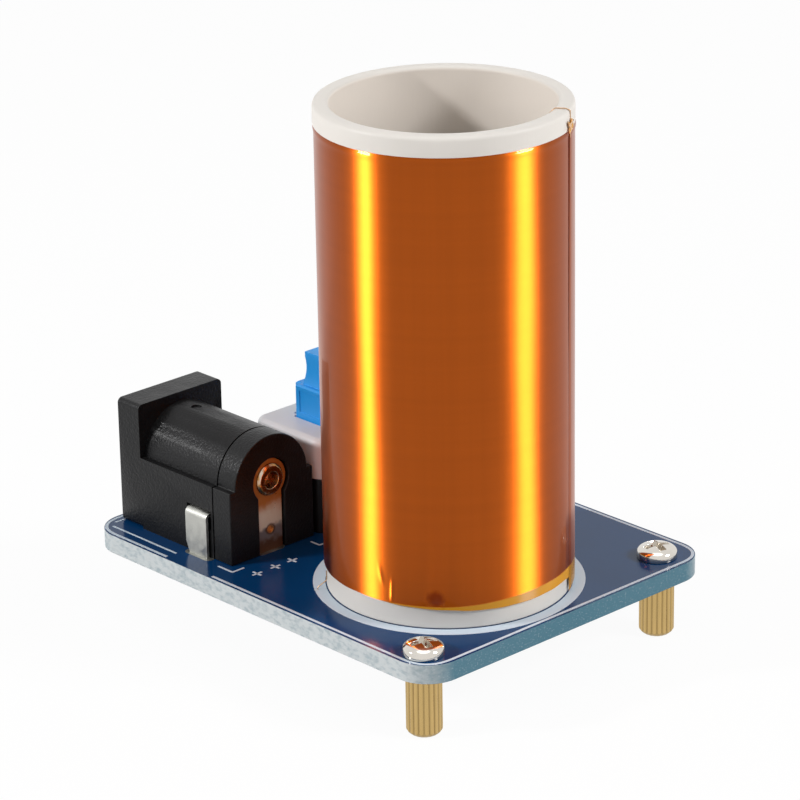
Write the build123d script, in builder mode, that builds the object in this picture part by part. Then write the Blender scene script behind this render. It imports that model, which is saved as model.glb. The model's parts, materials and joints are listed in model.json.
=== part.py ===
from build123d import *
import os
from math import cos, pi, radians, sin

# Desktop resonant transformer: a small blue circuit board on three knurled
# standoffs.  A wound and taped tube stands at one end.  A barrel power jack and
# a latching push switch share the other end.  The printed primary coil and the
# driver circuit are on the underside.
#
# Millimetres.  The origin is the centre of the board's outline on the table.
# +X runs from the jack's mouth towards the coil, +Y away from the jack, +Z up.

# ---------------------------------------------------------------- driving sizes
# board
board_length = 40.8
board_width = 32.1
board_thickness = 1.6
board_corner_radius = 3.0

# standoffs and their screws (M2)
standoff_height = 5.1
standoff_radius = 1.45
standoff_bevel = 0.36
knurl_teeth = 20
knurl_depth = 0.09
thread_radius = 0.8
lower_thread_depth = 2.2
upper_thread_depth = 1.8
standoff_inset = 2.65           # coil end's pair from the board's end
near_standoff_inset = 2.2       # and from the board's sides, the jack's side first
far_standoff_inset = 3.55
end_standoff_inset = 2.95
screw_hole_radius = 1.1
screw_head_radius = 1.67
screw_head_height = 1.1
screw_edge = 0.5
screw_engagement = 1.6
screw_clearance = 0.02
recess_length = 1.9
recess_width = 0.42
recess_depth = 0.6
recess_draft = 12.0             # degrees

# coil
coil_inset = 11.61              # coil axis from the board's end
coil_offset = -2.43             # coil axis from the board's middle line
tube_radius = 9.9
tube_wall = 1.05
tube_height = 40.25
rim_height = 1.65
rim_bead = 0.26
rim_edge = 0.35
foot_height = 1.6               # bare tube under the winding
foot_chamfer = 0.12
wire_diameter = 0.1             # enamelled winding wire
lead_radius = 0.07
wire_sides = 6                  # facets of every thin bent wire
tape_thickness = 0.06
tape_skew = 3.1                 # degrees, tilt of the tape's lower edge
tape_drop = 0.22                # how far the edge hangs below the winding
tape_low_bearing = 47.0         # degrees, where the edge hangs lowest
seam_bearing = 25.0             # degrees, where the tape ends over itself
tape_overlap = 40.0             # degrees
lower_lead_bearing = -123.0
lower_lead_step = 0.75          # from the winding out to its hole in the board
lead_hole_radius = 0.3
lead_bend = 0.3
lead_start_drop = 0.6           # below the winding's top
lead_tail_drop = 0.65           # below the rim, inside the tube
lower_lead_leaves = 0.75        # height at which the lower lead leaves the tube
lower_lead_lands = 0.2          # height at which it turns down into its hole
lower_lead_reach = 0.6          # its end under the board
tail_angle = 10.0               # degrees of rim followed by the upper lead's tail
patch_height = 2.2
patch_angle = 9.0
layer_clearance = 0.02

# printed primary coil
primary_turns = 2.5
primary_inner_radius = 5.4
primary_pitch = 1.4
track_width = 0.9
track_thickness = 0.07

# barrel jack, 5.5 mm plug on a 2.1 mm pin
jack_end_gap = 0.69             # jack face from the board's end
jack_offset = -8.78             # jack axis from the board's middle line
jack_length = 14.29
jack_width = 9.03
jack_height = 11.0
flange_thickness = 3.0
flange_edge_radius = 0.45
ledge_height = 6.35
jack_axis_height = 6.3
barrel_radius = 3.95
jack_bore_radius = 3.15
bore_chamfer = 0.35
gate_radius = 0.45              # round moulding mark on top of the barrel
gate_depth = 0.15
gate_setback = 5.1
cap_thickness = 2.14
seam_gap = 0.08
cap_boss_length = 1.6
boss_clearance = 0.05
pin_radius = 1.05
pin_setback = 1.2
pin_nose_radius = 0.55
pin_nose_length = 1.05
rivet_shank_radius = 0.8
rivet_head_radius = 1.4
rivet_head_height = 0.35
rivet_edge = 0.2
rivet_hollow_radius = 0.75
rivet_floor_radius = 0.45
rivet_hollow_depth = 1.0
strip_width = 2.6
strip_thickness = 0.4
strip_head_radius = 1.8
strip_recess = 0.7
strip_play = 0.1
strip_dimple_radius = 0.3
strip_dimple_depth = 0.15
strip_dimple_height = 1.9       # over the board
leg_width = 1.8
leg_hole_play = 0.4             # board's slots over the legs, across both ways
leg_reach = 1.6                 # how far the jack's legs stand out under the board
leaf_thickness = 0.3
leaf_width = 2.8
leaf_leg_setback = 7.7          # sleeve contact's leg from the jack's face
leaf_leg_root = 0.2
leaf_knee = 0.5
leaf_run_height = 1.2
leaf_turn_height = 2.3
leaf_turn_inset = 1.2           # from the channel's start
bow_rise = 0.45                 # how far the bow stands into the bore
bow_inset = 0.6                 # crest of the bow, towards the mouth from the leg
bow_flat = 0.9                  # flat along the crest
bow_end_inset = 0.5             # from the cap's boss
channel_width = 3.6
channel_start = 3.6
side_terminal_setback = 10.33
side_terminal_width = 2.6
side_terminal_leg_width = 2.1
side_terminal_top = 3.9
side_terminal_stand = 0.1       # gap between the strip and the housing's side
side_roll_radius = 0.35
side_tongue_flat = 1.9
side_tongue_reach = 3.1
side_tongue_drop = 0.75
side_taper_foot = -0.2          # the side terminal narrows between these heights
side_taper_top = 0.9
window_height = 1.2
window_play = 0.2

# latching push switch
switch_inset = 11.24            # switch's middle from the board's end
switch_offset = 0.42            # and from the board's middle line
switch_side = 8.5
switch_height = 8.35
switch_corner_radius = 1.2
switch_edge_radius = 0.6
cover_wall = 0.7
cover_top = 0.8
base_thickness = 1.0
base_lift = 0.1
base_play = 0.03
travel = 2.5
key_side = 3.2                  # square block of the plunger
key_rib_reach = 2.15
key_rib_width = 2.2
key_play = 0.12
key_top = 11.2                  # above the board, button up
key_edge = 0.15
key_panel_width = 2.3           # shallow panel on the block's front
key_panel_height = 1.9
key_panel_depth = 0.08
stem_top = 14.1
stem_foot_half = 1.17
stem_waist_half = 0.93
stem_head_half = 1.0
stem_head_height = 0.45
stem_neck_rise = 0.15           # narrowest place over the stem's middle
skirt_x = 4.6
skirt_y = 4.8
skirt_height = 3.7
stop_gap = 0.08
spring_pocket_radius = 1.1
spring_pocket_top = 8.9
spring_radius = 0.8
spring_wire_radius = 0.12
spring_turns = 7
spring_steps = 9                # sections of wire in a turn
spring_seat_gap = 0.02
spring_peg_radius = 0.55
spring_peg_height = 0.7
latch_wire_radius = 0.25
latch_arm = 2.5
latch_swing = 8.0               # degrees at full travel
latch_pivot_height = 1.9
latch_play = 0.05
latch_bend = 0.3
latch_skin = 0.2                # cover left outside the latch wire's blind hole
latch_end_gap = 0.1
latch_tip_gap = 0.15
groove_play = 0.1
groove_depth = 0.55
latched_depth = 1.5
return_offset = 0.75
return_top_drop = 0.25          # far side of the groove, below its highest corner
return_foot_rise = 0.9          # far side of the groove, above its lowest corner
terminal_rows = 6.3
terminal_pitch = 2.0
terminal_width = 0.8
terminal_thickness = 0.3
terminal_reach = 1.4
terminal_hole_play = 0.12
contact_pad = 0.1
contact_height = 1.4
high_contact_foot = 5.0
low_contact_foot = 2.6
bridge_thickness = 0.18
bridge_height = 0.9
bridge_gap = 0.06
bridge_foot_rise = 0.25         # bridge's lower edge over the high contact's
bridge_ramp = 0.75              # run between a bump and the flat
bridge_tail = 0.4
bridge_tail_drop = 0.15

# driver circuit under the board
transistor_inset_x = 13.8       # its middle from the board's end and side
transistor_inset_y = 5.85
transistor_width = 6.5
transistor_length = 6.1
transistor_height = 2.3
transistor_draft = 8.0          # degrees
tab_width = 5.3
tab_reach = 1.1
leg_pitch = 4.6
lead_thickness = 0.5
lead_width = 0.8
lead_run = 2.7
chip_length = 3.2
chip_width = 1.6
chip_cap = 0.45
resistor_thickness = 0.55
capacitor_thickness = 1.2
chip_inset_x = 5.0              # column of chips from the board's end
chip_inset_y = 3.05             # first chip from the board's side
chip_pitch = 2.8
diode_inset_x = 22.0
diode_inset_y = 3.45
diode_length = 4.3
diode_width = 2.6
diode_height = 2.0
diode_draft = 6.0               # degrees
diode_lead_width = 1.5
diode_lead_thickness = 0.2
diode_foot = 0.9
pad_margin = 0.45
solder_height = 0.9
solder_slope = 20.0             # degrees

# ------------------------------------------------------------ worked-out places
board_bottom = standoff_height
board_top = board_bottom + board_thickness
coil_x = board_length / 2 - coil_inset
coil_y = coil_offset
coil_axis = Axis((coil_x, coil_y, 0), (0, 0, 1))
coil_section = Plane(origin=(coil_x, coil_y, board_top), x_dir=(1, 0, 0), z_dir=(0, -1, 0))
tube_bore_radius = tube_radius - tube_wall
winding_radius = tube_radius + wire_diameter
lower_lead_radius = winding_radius + lower_lead_step
winding_top = tube_height - rim_height
winding_length = winding_top - foot_height
tape_radius = winding_radius + tape_thickness
overlap_radius = tape_radius + tape_thickness
rim_radius = tube_radius + rim_bead

standoff_x = board_length / 2 - standoff_inset
standoff_places = [
    (standoff_x, -board_width / 2 + near_standoff_inset),
    (standoff_x, board_width / 2 - far_standoff_inset),
    (-board_length / 2 + end_standoff_inset, 0),
]

jack_x = -board_length / 2 + jack_end_gap
jack_y = jack_offset
jack_axis_z = board_top + jack_axis_height
jack_face = Plane(origin=(jack_x, jack_y, board_top), x_dir=(0, 1, 0), z_dir=(1, 0, 0))
jack_middle = Plane(origin=(jack_x, jack_y, board_top), x_dir=(1, 0, 0), z_dir=(0, -1, 0))
jack_axis = Axis((jack_x, jack_y, jack_axis_z), (1, 0, 0))
cap_start = jack_length - cap_thickness
housing_end = cap_start - seam_gap
boss_face = cap_start - cap_boss_length
strip_front = jack_length - strip_recess
strip_back = strip_front + strip_thickness
rivet_end = strip_back + rivet_head_height
leg_depth = board_thickness + leg_reach
rear_leg_x = jack_x + strip_front + strip_thickness / 2
leaf_leg_x = jack_x + leaf_leg_setback
side_terminal_x = jack_x + side_terminal_setback
side_strip_y = -jack_width / 2 - side_terminal_stand - leaf_thickness / 2
side_leg_x = side_terminal_x + (side_terminal_width - side_terminal_leg_width) / 2
side_leg_y = jack_y + side_strip_y
channel_end = side_terminal_setback + side_terminal_width / 2 + window_play
channel_height = jack_axis_height - (jack_bore_radius**2 - (channel_width / 2) ** 2) ** 0.5

switch_x = -board_length / 2 + switch_inset
switch_y = switch_offset
switch_inside = switch_side - 2 * cover_wall
base_top = base_lift + base_thickness
skirt_top = switch_height - cover_top - stop_gap
skirt_bottom = skirt_top - skirt_height
latch_tip_height = latch_pivot_height + latch_arm
latch_shift = latch_arm * sin(radians(latch_swing))
latch_arm_y = (skirt_y / 2 + switch_inside / 2) / 2
terminal_x = terminal_rows / 2
terminal_face = terminal_x - terminal_thickness / 2
pad_face = terminal_face - contact_pad


def on_coil(radius, bearing, height):
    """A point given by its radius and bearing round the coil and its height over the board."""
    angle = radians(bearing)
    return (coil_x + radius * cos(angle), coil_y + radius * sin(angle), board_top + height)


def at_jack(setback):
    """The level plane that touches the top of the jack's barrel, at a distance from its face."""
    return Plane((jack_x + setback, jack_y, jack_axis_z + barrel_radius))


def at_switch(height):
    """The switch's level plane at a height over the board."""
    return Plane((switch_x, switch_y, board_top + height))


# ------------------------------------------------------------------------ board
# legs through the board: place, hole length, hole width, turned by 90 degrees or not
jack_legs = [
    (rear_leg_x, jack_y, 90),
    (leaf_leg_x, jack_y, 90),
    (side_leg_x, side_leg_y, 0),
]
switch_legs = [
    (switch_x + side * terminal_x, switch_y + row * terminal_pitch)
    for side in (-1, 1)
    for row in (-1, 0, 1)
]
leg_slot_length = side_terminal_leg_width + leg_hole_play
leg_slot_width = strip_thickness + leg_hole_play
lower_lead_place = on_coil(lower_lead_radius, lower_lead_bearing, 0)[:2]

with BuildPart() as circuit_board:
    with BuildSketch(Plane.XY.offset(board_bottom)):
        RectangleRounded(board_length, board_width, board_corner_radius)
        with Locations(*standoff_places):
            Circle(screw_hole_radius, mode=Mode.SUBTRACT)
        for x, y, turn in jack_legs:
            with Locations(Location((x, y), turn)):
                SlotOverall(leg_slot_length, leg_slot_width, mode=Mode.SUBTRACT)
        with Locations(*switch_legs):
            Rectangle(
                terminal_thickness + 2 * terminal_hole_play,
                terminal_width + 2 * terminal_hole_play,
                mode=Mode.SUBTRACT,
            )
        with Locations(lower_lead_place):
            Circle(lead_hole_radius, mode=Mode.SUBTRACT)
    extrude(amount=board_thickness)
circuit_board.part.label = "circuit_board"

# The printed primary is a flat spiral of half circles whose radius grows by half
# a pitch each time.  Their centres alternate about the coil axis.
with BuildPart() as primary_coil_track:
    with BuildSketch(Plane((coil_x, coil_y, board_bottom - track_thickness))):
        with BuildLine():
            for half_turn in range(int(2 * primary_turns)):
                side = 1 if half_turn % 2 else -1
                radius = primary_inner_radius + half_turn * primary_pitch / 2
                CenterArc((side * primary_pitch / 4, 0), radius, 180 if half_turn % 2 else 0, 180)
        trace(line_width=track_width)
    extrude(amount=track_thickness)
primary_coil_track.part.label = "primary_coil_track"


# -------------------------------------------------------- standoffs and screws
def knurled_ring(radius):
    """Corners of a knurled outline: teeth and valleys in turn."""
    step = pi / knurl_teeth
    reach = (radius, radius - knurl_depth)
    return [(reach[k % 2] * cos(k * step), reach[k % 2] * sin(k * step)) for k in range(2 * knurl_teeth)]


def knurled_standoff(place):
    """A straight-knurled brass pillar with a bevelled foot and a blind thread in each end."""
    with BuildPart() as pillar:
        with BuildSketch(Plane((*place, 0))):
            Polygon(*knurled_ring(standoff_radius - standoff_bevel), align=None)
        with BuildSketch(Plane((*place, standoff_bevel))):
            Polygon(*knurled_ring(standoff_radius), align=None)
        with BuildSketch(Plane((*place, standoff_height))):
            Polygon(*knurled_ring(standoff_radius), align=None)
        loft(ruled=True)
        with BuildSketch(Plane((*place, 0))):
            Circle(thread_radius)
        extrude(amount=lower_thread_depth, mode=Mode.SUBTRACT)
        with BuildSketch(Plane((*place, standoff_height))):
            Circle(thread_radius)
        extrude(amount=-upper_thread_depth, mode=Mode.SUBTRACT)
    return pillar.part


def pan_screw(place):
    """A pan head screw with a cross recess.  Its shank is drawn at the thread's root."""
    section = Plane(origin=(*place, board_top), x_dir=(1, 0, 0), z_dir=(0, -1, 0))
    shank_radius = thread_radius - screw_clearance
    with BuildPart() as screw:
        with BuildSketch(section) as half_screw:
            with BuildLine():
                Polyline(
                    (0, screw_head_height),
                    (screw_head_radius, screw_head_height),
                    (screw_head_radius, 0),
                    (shank_radius, 0),
                    (shank_radius, -board_thickness - screw_engagement),
                    (0, -board_thickness - screw_engagement),
                    close=True,
                )
            make_face()
            chamfer(half_screw.vertices().group_by(Axis.X)[-1].sort_by(Axis.Y)[-1], screw_edge)
        revolve(axis=Axis((*place, 0), (0, 0, 1)))
        with BuildSketch(Plane((*place, board_top + screw_head_height))):
            Rectangle(recess_length, recess_width)
            Rectangle(recess_width, recess_length)
        extrude(amount=-recess_depth, taper=recess_draft, mode=Mode.SUBTRACT)
    return screw.part


with BuildPart() as standoffs:
    for place in standoff_places:
        add(knurled_standoff(place))
standoffs.part.label = "standoffs"

with BuildPart() as standoff_screws:
    for place in standoff_places:
        add(pan_screw(place))
standoff_screws.part.label = "standoff_screws"

# ------------------------------------------------------------------------- coil
with BuildPart() as coil_tube:
    with BuildSketch(coil_section) as tube_profile:
        with BuildLine():
            Polyline(
                (tube_bore_radius, 0),
                (tube_radius - foot_chamfer, 0),
                (tube_radius, foot_chamfer),
                (tube_radius, winding_top),
                (rim_radius, winding_top),
                (rim_radius, tube_height),
                (tube_bore_radius, tube_height),
                close=True,
            )
        make_face()
        chamfer(tube_profile.vertices().group_by(Axis.Y)[-1], rim_edge)
    revolve(axis=coil_axis)
coil_tube.part.label = "coil_tube"

# One layer of wire touching turn to turn: too fine to be drawn turn by turn, it
# is a sleeve one wire thick.
winding_turns = round(winding_length / wire_diameter)
with BuildPart() as secondary_winding:
    with BuildSketch(Plane((coil_x, coil_y, board_top + foot_height))):
        Circle(winding_radius)
        Circle(tube_radius, mode=Mode.SUBTRACT)
    extrude(amount=winding_length)
secondary_winding.part.label = "secondary_winding"

# The tape goes once round and ends over itself.  Its lower edge was put on
# askew, so that it hangs over the foot on one side.
tape_edge = Plane(
    origin=(coil_x, coil_y, board_top + foot_height - tape_drop),
    x_dir=(cos(radians(tape_low_bearing)), sin(radians(tape_low_bearing)), -sin(radians(tape_skew))),
    z_dir=(
        sin(radians(tape_skew)) * cos(radians(tape_low_bearing)),
        sin(radians(tape_skew)) * sin(radians(tape_low_bearing)),
        cos(radians(tape_skew)),
    ),
)
with BuildPart() as insulating_tape:
    with BuildSketch(Plane((coil_x, coil_y, board_top + foot_chamfer))):
        with BuildLine():
            double = CenterArc((0, 0), overlap_radius, seam_bearing, tape_overlap)
            single = CenterArc((0, 0), tape_radius, seam_bearing + tape_overlap, 360 - tape_overlap)
            Line(double @ 1, single @ 0)
            Line(single @ 1, double @ 0)
        make_face()
        Circle(winding_radius, mode=Mode.SUBTRACT)
    extrude(amount=winding_top - foot_chamfer)
    split(bisect_by=tape_edge, keep=Keep.TOP)
insulating_tape.part.label = "insulating_tape"

lead_out = overlap_radius + lead_radius + layer_clearance
lead_in = tube_bore_radius - lead_radius - 3 * layer_clearance
lead_over = tube_height + lead_radius + layer_clearance
lead_tail = tube_height - lead_tail_drop
with BuildPart() as top_lead_wire:
    with BuildLine() as lead_path:
        FilletPolyline(
            on_coil(lead_out, seam_bearing, winding_top - lead_start_drop),
            on_coil(lead_out, seam_bearing, lead_over),
            on_coil(lead_in, seam_bearing, lead_over),
            on_coil(lead_in, seam_bearing, lead_tail),
            on_coil(lead_in, seam_bearing - tail_angle, lead_tail),
            radius=lead_bend,
        )
    with BuildSketch(Plane(lead_path.wire() @ 0, z_dir=lead_path.wire() % 0)):
        RegularPolygon(lead_radius, wire_sides)
    sweep(path=lead_path.wire())
top_lead_wire.part.label = "top_lead_wire"

with BuildPart() as bottom_lead_wire:
    with BuildLine() as drop_path:
        FilletPolyline(
            on_coil(winding_radius, lower_lead_bearing, foot_height - layer_clearance),
            on_coil(winding_radius, lower_lead_bearing, lower_lead_leaves),
            on_coil(lower_lead_radius, lower_lead_bearing, lower_lead_lands),
            on_coil(lower_lead_radius, lower_lead_bearing, -board_thickness - lower_lead_reach),
            radius=lead_bend,
        )
    with BuildSketch(Plane(drop_path.wire() @ 0, z_dir=drop_path.wire() % 0)):
        RegularPolygon(lead_radius, wire_sides)
    sweep(path=drop_path.wire())
bottom_lead_wire.part.label = "bottom_lead_wire"

patch_radius = lead_out + lead_radius + layer_clearance
patch_start = seam_bearing - patch_angle / 2
with BuildPart() as lead_tape_patch:
    with BuildSketch(Plane((coil_x, coil_y, board_top + winding_top - patch_height / 2))):
        with BuildLine():
            patch_inner = CenterArc((0, 0), patch_radius, patch_start, patch_angle)
            patch_outer = CenterArc((0, 0), patch_radius + tape_thickness, patch_start, patch_angle)
            Line(patch_inner @ 0, patch_outer @ 0)
            Line(patch_inner @ 1, patch_outer @ 1)
        make_face()
    extrude(amount=patch_height)
lead_tape_patch.part.label = "lead_tape_patch"

# ------------------------------------------------------------------ barrel jack
# The housing and its rear cap share one arched outline: a half-round barrel on
# a wider box whose top makes the ledge.
with BuildPart() as jack_housing:
    with BuildSketch(jack_face) as flange_outline:
        with Locations((0, jack_height / 2)):
            Rectangle(jack_width, jack_height)
        fillet(flange_outline.vertices(), flange_edge_radius)
    extrude(amount=flange_thickness)
    with BuildSketch(jack_face.offset(flange_thickness)):
        with Locations((0, ledge_height / 2)):
            Rectangle(jack_width, ledge_height)
        with Locations((0, jack_axis_height)):
            Circle(barrel_radius)
    extrude(amount=housing_end - flange_thickness)
    # the plug's bore, open at the cap's end for the cap's boss
    with BuildSketch(jack_face):
        with Locations((0, jack_axis_height)):
            Circle(jack_bore_radius)
    extrude(amount=housing_end, mode=Mode.SUBTRACT)
    mouth = jack_housing.edges().filter_by(GeomType.CIRCLE).group_by(Axis.X)[0]
    chamfer(mouth, bore_chamfer)
    # channel under the bore for the sleeve contact, open to the board
    with BuildSketch(jack_face.offset(channel_start)):
        with Locations((0, channel_height / 2)):
            Rectangle(channel_width, channel_height)
    extrude(amount=channel_end - channel_start, mode=Mode.SUBTRACT)
    # window through the side wall for the side terminal's tongue
    with BuildSketch(jack_middle.offset(jack_width / 2)):
        with Locations((side_terminal_setback, side_terminal_top - window_height / 2)):
            Rectangle(side_terminal_width + 2 * window_play, window_height + 2 * window_play)
    extrude(amount=-(jack_width - channel_width) / 2, mode=Mode.SUBTRACT)
    # moulding mark on top of the barrel
    with BuildSketch(at_jack(gate_setback)):
        Circle(gate_radius)
    extrude(amount=-gate_depth, mode=Mode.SUBTRACT)
jack_housing.part.label = "jack_housing"

with BuildPart() as jack_rear_cap:
    with BuildSketch(jack_face.offset(cap_start)):
        with Locations((0, ledge_height / 2)):
            Rectangle(jack_width, ledge_height)
        with Locations((0, jack_axis_height)):
            Circle(barrel_radius)
    extrude(amount=cap_thickness)
    with BuildSketch(jack_face.offset(boss_face)):
        with Locations((0, jack_axis_height)):
            Circle(jack_bore_radius - boss_clearance)
    extrude(amount=cap_boss_length)
    # recess for the rear terminal strip, round at the pin and open to the board
    with BuildSketch(jack_face.offset(strip_front)):
        with Locations((0, jack_axis_height)):
            Circle(strip_head_radius + strip_play)
        with Locations((0, jack_axis_height / 2)):
            Rectangle(strip_width + 2 * strip_play, jack_axis_height)
    extrude(amount=strip_recess, mode=Mode.SUBTRACT)
    with BuildSketch(jack_face.offset(boss_face)):
        with Locations((0, jack_axis_height)):
            Circle(rivet_shank_radius)
    extrude(amount=jack_length - boss_face, mode=Mode.SUBTRACT)
jack_rear_cap.part.label = "jack_rear_cap"

# The pin is turned in one piece.  Its hollow tail is riveted over the strip.
with BuildPart() as jack_centre_pin:
    with BuildSketch(jack_middle):
        with BuildLine():
            Polyline(
                (pin_setback, jack_axis_height),
                (pin_setback, jack_axis_height + pin_nose_radius),
                (pin_setback + pin_nose_length, jack_axis_height + pin_radius),
                (boss_face, jack_axis_height + pin_radius),
                (boss_face, jack_axis_height + rivet_shank_radius),
                (strip_back, jack_axis_height + rivet_shank_radius),
                (strip_back, jack_axis_height + rivet_head_radius),
                (rivet_end - rivet_edge, jack_axis_height + rivet_head_radius),
                (rivet_end, jack_axis_height + rivet_head_radius - rivet_edge),
                (rivet_end, jack_axis_height + rivet_hollow_radius),
                (rivet_end - rivet_hollow_depth, jack_axis_height + rivet_floor_radius),
                (rivet_end - rivet_hollow_depth, jack_axis_height),
                close=True,
            )
        make_face()
    revolve(axis=jack_axis)
jack_centre_pin.part.label = "jack_centre_pin"

with BuildPart() as jack_rear_terminal:
    with BuildSketch(jack_face.offset(strip_front)):
        with Locations((0, jack_axis_height)):
            Circle(strip_head_radius)
        with Locations((0, jack_axis_height / 2)):
            Rectangle(strip_width, jack_axis_height)
        with Locations((0, -leg_depth / 2)):
            Rectangle(leg_width, leg_depth)
        with Locations((0, jack_axis_height)):
            Circle(rivet_shank_radius, mode=Mode.SUBTRACT)
    extrude(amount=strip_thickness)
    # round punch mark low on the strip's outer face
    with BuildSketch(jack_face.offset(strip_back)):
        with Locations((0, strip_dimple_height)):
            Circle(strip_dimple_radius)
    extrude(amount=-strip_dimple_depth, mode=Mode.SUBTRACT)
jack_rear_terminal.part.label = "jack_rear_terminal"

# The sleeve contact is one folded strip: a leg, a run towards the mouth, a
# return bend, and a bow that stands into the bore under the plug's sleeve.
bow_top = jack_axis_height - jack_bore_radius + bow_rise
leaf_turn = channel_start + leaf_turn_inset
with BuildPart() as jack_sleeve_spring:
    with BuildSketch(jack_middle):
        with BuildLine():
            leg = Line((leaf_leg_setback, leaf_leg_root), (leaf_leg_setback, leaf_run_height - leaf_knee))
            knee = TangentArc(leg @ 1, (leaf_leg_setback - leaf_knee, leaf_run_height), tangent=leg % 1)
            run = Line(knee @ 1, (leaf_turn, leaf_run_height))
            turn = TangentArc(run @ 1, (leaf_turn, leaf_turn_height), tangent=run % 1)
            crest_x = leaf_leg_setback - bow_inset
            crest_height = bow_top - leaf_thickness / 2
            Polyline(
                turn @ 1,
                (crest_x - bow_flat / 2, crest_height),
                (crest_x + bow_flat / 2, crest_height),
                (boss_face - bow_end_inset, leaf_turn_height),
            )
        trace(line_width=leaf_thickness)
    extrude(amount=leaf_width / 2, both=True)
    with BuildSketch(jack_face.offset(leaf_leg_setback - leaf_thickness / 2)):
        with Locations((0, (leaf_leg_root - leg_depth) / 2)):
            Rectangle(leg_width, leaf_leg_root + leg_depth)
    extrude(amount=leaf_thickness)
jack_sleeve_spring.part.label = "jack_sleeve_spring"

# The side terminal stands against the housing, rolls over at its top and
# reaches through the window to just over the sleeve contact's free end.
side_plane = Plane(
    origin=(side_terminal_x, jack_y, board_top), x_dir=(0, 1, 0), z_dir=(1, 0, 0)
)
tongue_height = side_terminal_top - leaf_thickness / 2
with BuildPart() as jack_side_terminal:
    with BuildSketch(side_plane):
        with BuildLine():
            riser = Line((side_strip_y, -leg_depth), (side_strip_y, tongue_height - side_roll_radius))
            roll = TangentArc(riser @ 1, (side_strip_y + side_roll_radius, tongue_height), tangent=riser % 1)
            tongue = Line(roll @ 1, (side_strip_y + side_tongue_flat, tongue_height))
            Line(tongue @ 1, (side_strip_y + side_tongue_reach, tongue_height - side_tongue_drop))
        trace(line_width=leaf_thickness)
    extrude(amount=side_terminal_width / 2, both=True)
    # the leg narrows on the mouth's side where it meets the board
    with BuildSketch(jack_middle.offset(jack_width / 2 + 1)):
        with BuildLine():
            outer = side_terminal_setback - side_terminal_width / 2
            inner = side_terminal_setback + side_terminal_width / 2 - side_terminal_leg_width
            Polyline(
                (outer, side_taper_top),
                (inner, side_taper_foot),
                (inner, -leg_depth),
                (outer, -leg_depth),
                close=True,
            )
        make_face()
    extrude(amount=-2, mode=Mode.SUBTRACT)
jack_side_terminal.part.label = "jack_side_terminal"

# -------------------------------------------------------- latching push switch
with BuildPart() as switch_cover:
    with BuildSketch(at_switch(0)):
        RectangleRounded(switch_side, switch_side, switch_corner_radius)
    extrude(amount=switch_height)
    fillet(switch_cover.edges().group_by(Axis.Z)[-1], switch_edge_radius)
    with BuildSketch(at_switch(0)):
        Rectangle(switch_inside, switch_inside)
    extrude(amount=switch_height - cover_top, mode=Mode.SUBTRACT)
    with BuildSketch(at_switch(0)):
        Rectangle(key_side + 2 * key_play, key_side + 2 * key_play)
        Rectangle(2 * (key_rib_reach + key_play), key_rib_width + 2 * key_play)
    extrude(amount=switch_height, mode=Mode.SUBTRACT)
    # blind hole in the wall for the latch wire's pivot leg
    pivot_mouth = (switch_x, switch_y + switch_inside / 2, board_top + latch_pivot_height)
    with BuildSketch(Plane(pivot_mouth, x_dir=(1, 0, 0), z_dir=(0, 1, 0))):
        Circle(latch_wire_radius + latch_play)
    extrude(amount=cover_wall - latch_skin, mode=Mode.SUBTRACT)
switch_cover.part.label = "switch_cover"

base_side = switch_inside - 2 * base_play
with BuildPart() as switch_base:
    with BuildSketch(at_switch(base_lift)):
        Rectangle(base_side, base_side)
        with GridLocations(terminal_rows, terminal_pitch, 2, 3):
            Rectangle(terminal_thickness + 2 * base_play, terminal_width + 2 * base_play, mode=Mode.SUBTRACT)
    extrude(amount=base_thickness)
    with BuildSketch(at_switch(base_top)):
        Circle(spring_peg_radius)
    extrude(amount=spring_peg_height)
switch_base.part.label = "switch_base"

# Each row has a common blade in the middle, a blade with a high contact on one
# side of it and a blade with a low contact on the other.
blade_foot = -board_thickness - terminal_reach
blade_top = high_contact_foot + contact_height
with BuildPart() as switch_terminals:
    for side in (-1, 1):
        for row, pad_low, pad_high in (
            (-1, high_contact_foot, blade_top),
            (0, low_contact_foot, blade_top),
            (1, low_contact_foot, low_contact_foot + contact_height),
        ):
            with BuildSketch(at_switch(blade_foot)):
                with Locations((side * terminal_x, row * terminal_pitch)):
                    Rectangle(terminal_thickness, terminal_width)
            extrude(amount=blade_top - blade_foot)
            with BuildSketch(at_switch(pad_low)):
                with Locations((side * (pad_face + terminal_x) / 2, row * terminal_pitch)):
                    Rectangle(terminal_x - pad_face, terminal_width)
            extrude(amount=pad_high - pad_low)
switch_terminals.part.label = "switch_terminals"

# Plunger: a skirt that stays inside, a keyed block that comes through the
# cover, and a waisted stem for a push-on cap.
stem_front = Plane(origin=(switch_x, switch_y, board_top), x_dir=(1, 0, 0), z_dir=(0, -1, 0))
stem_side = Plane(origin=(switch_x, switch_y, board_top), x_dir=(0, 1, 0), z_dir=(1, 0, 0))
head_foot = stem_top - stem_head_height


def stem_outline():
    """The stem's waisted outline, foot to head, inside a running line block."""
    neck = (key_top + head_foot) / 2 + stem_neck_rise
    right, left = (
        ThreePointArc(
            (side * stem_foot_half, key_top),
            (side * stem_waist_half, neck),
            (side * stem_head_half, head_foot),
        )
        for side in (1, -1)
    )
    Line(left @ 0, right @ 0)
    Polyline(right @ 1, (stem_head_half, stem_top), (-stem_head_half, stem_top), left @ 1)


with BuildPart() as waisted_stem:
    with BuildSketch(stem_front):
        with BuildLine():
            stem_outline()
        make_face()
    extrude(amount=key_side, both=True)
    with BuildSketch(stem_side):
        with BuildLine():
            stem_outline()
        make_face()
    extrude(amount=key_side, both=True, mode=Mode.INTERSECT)

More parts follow.
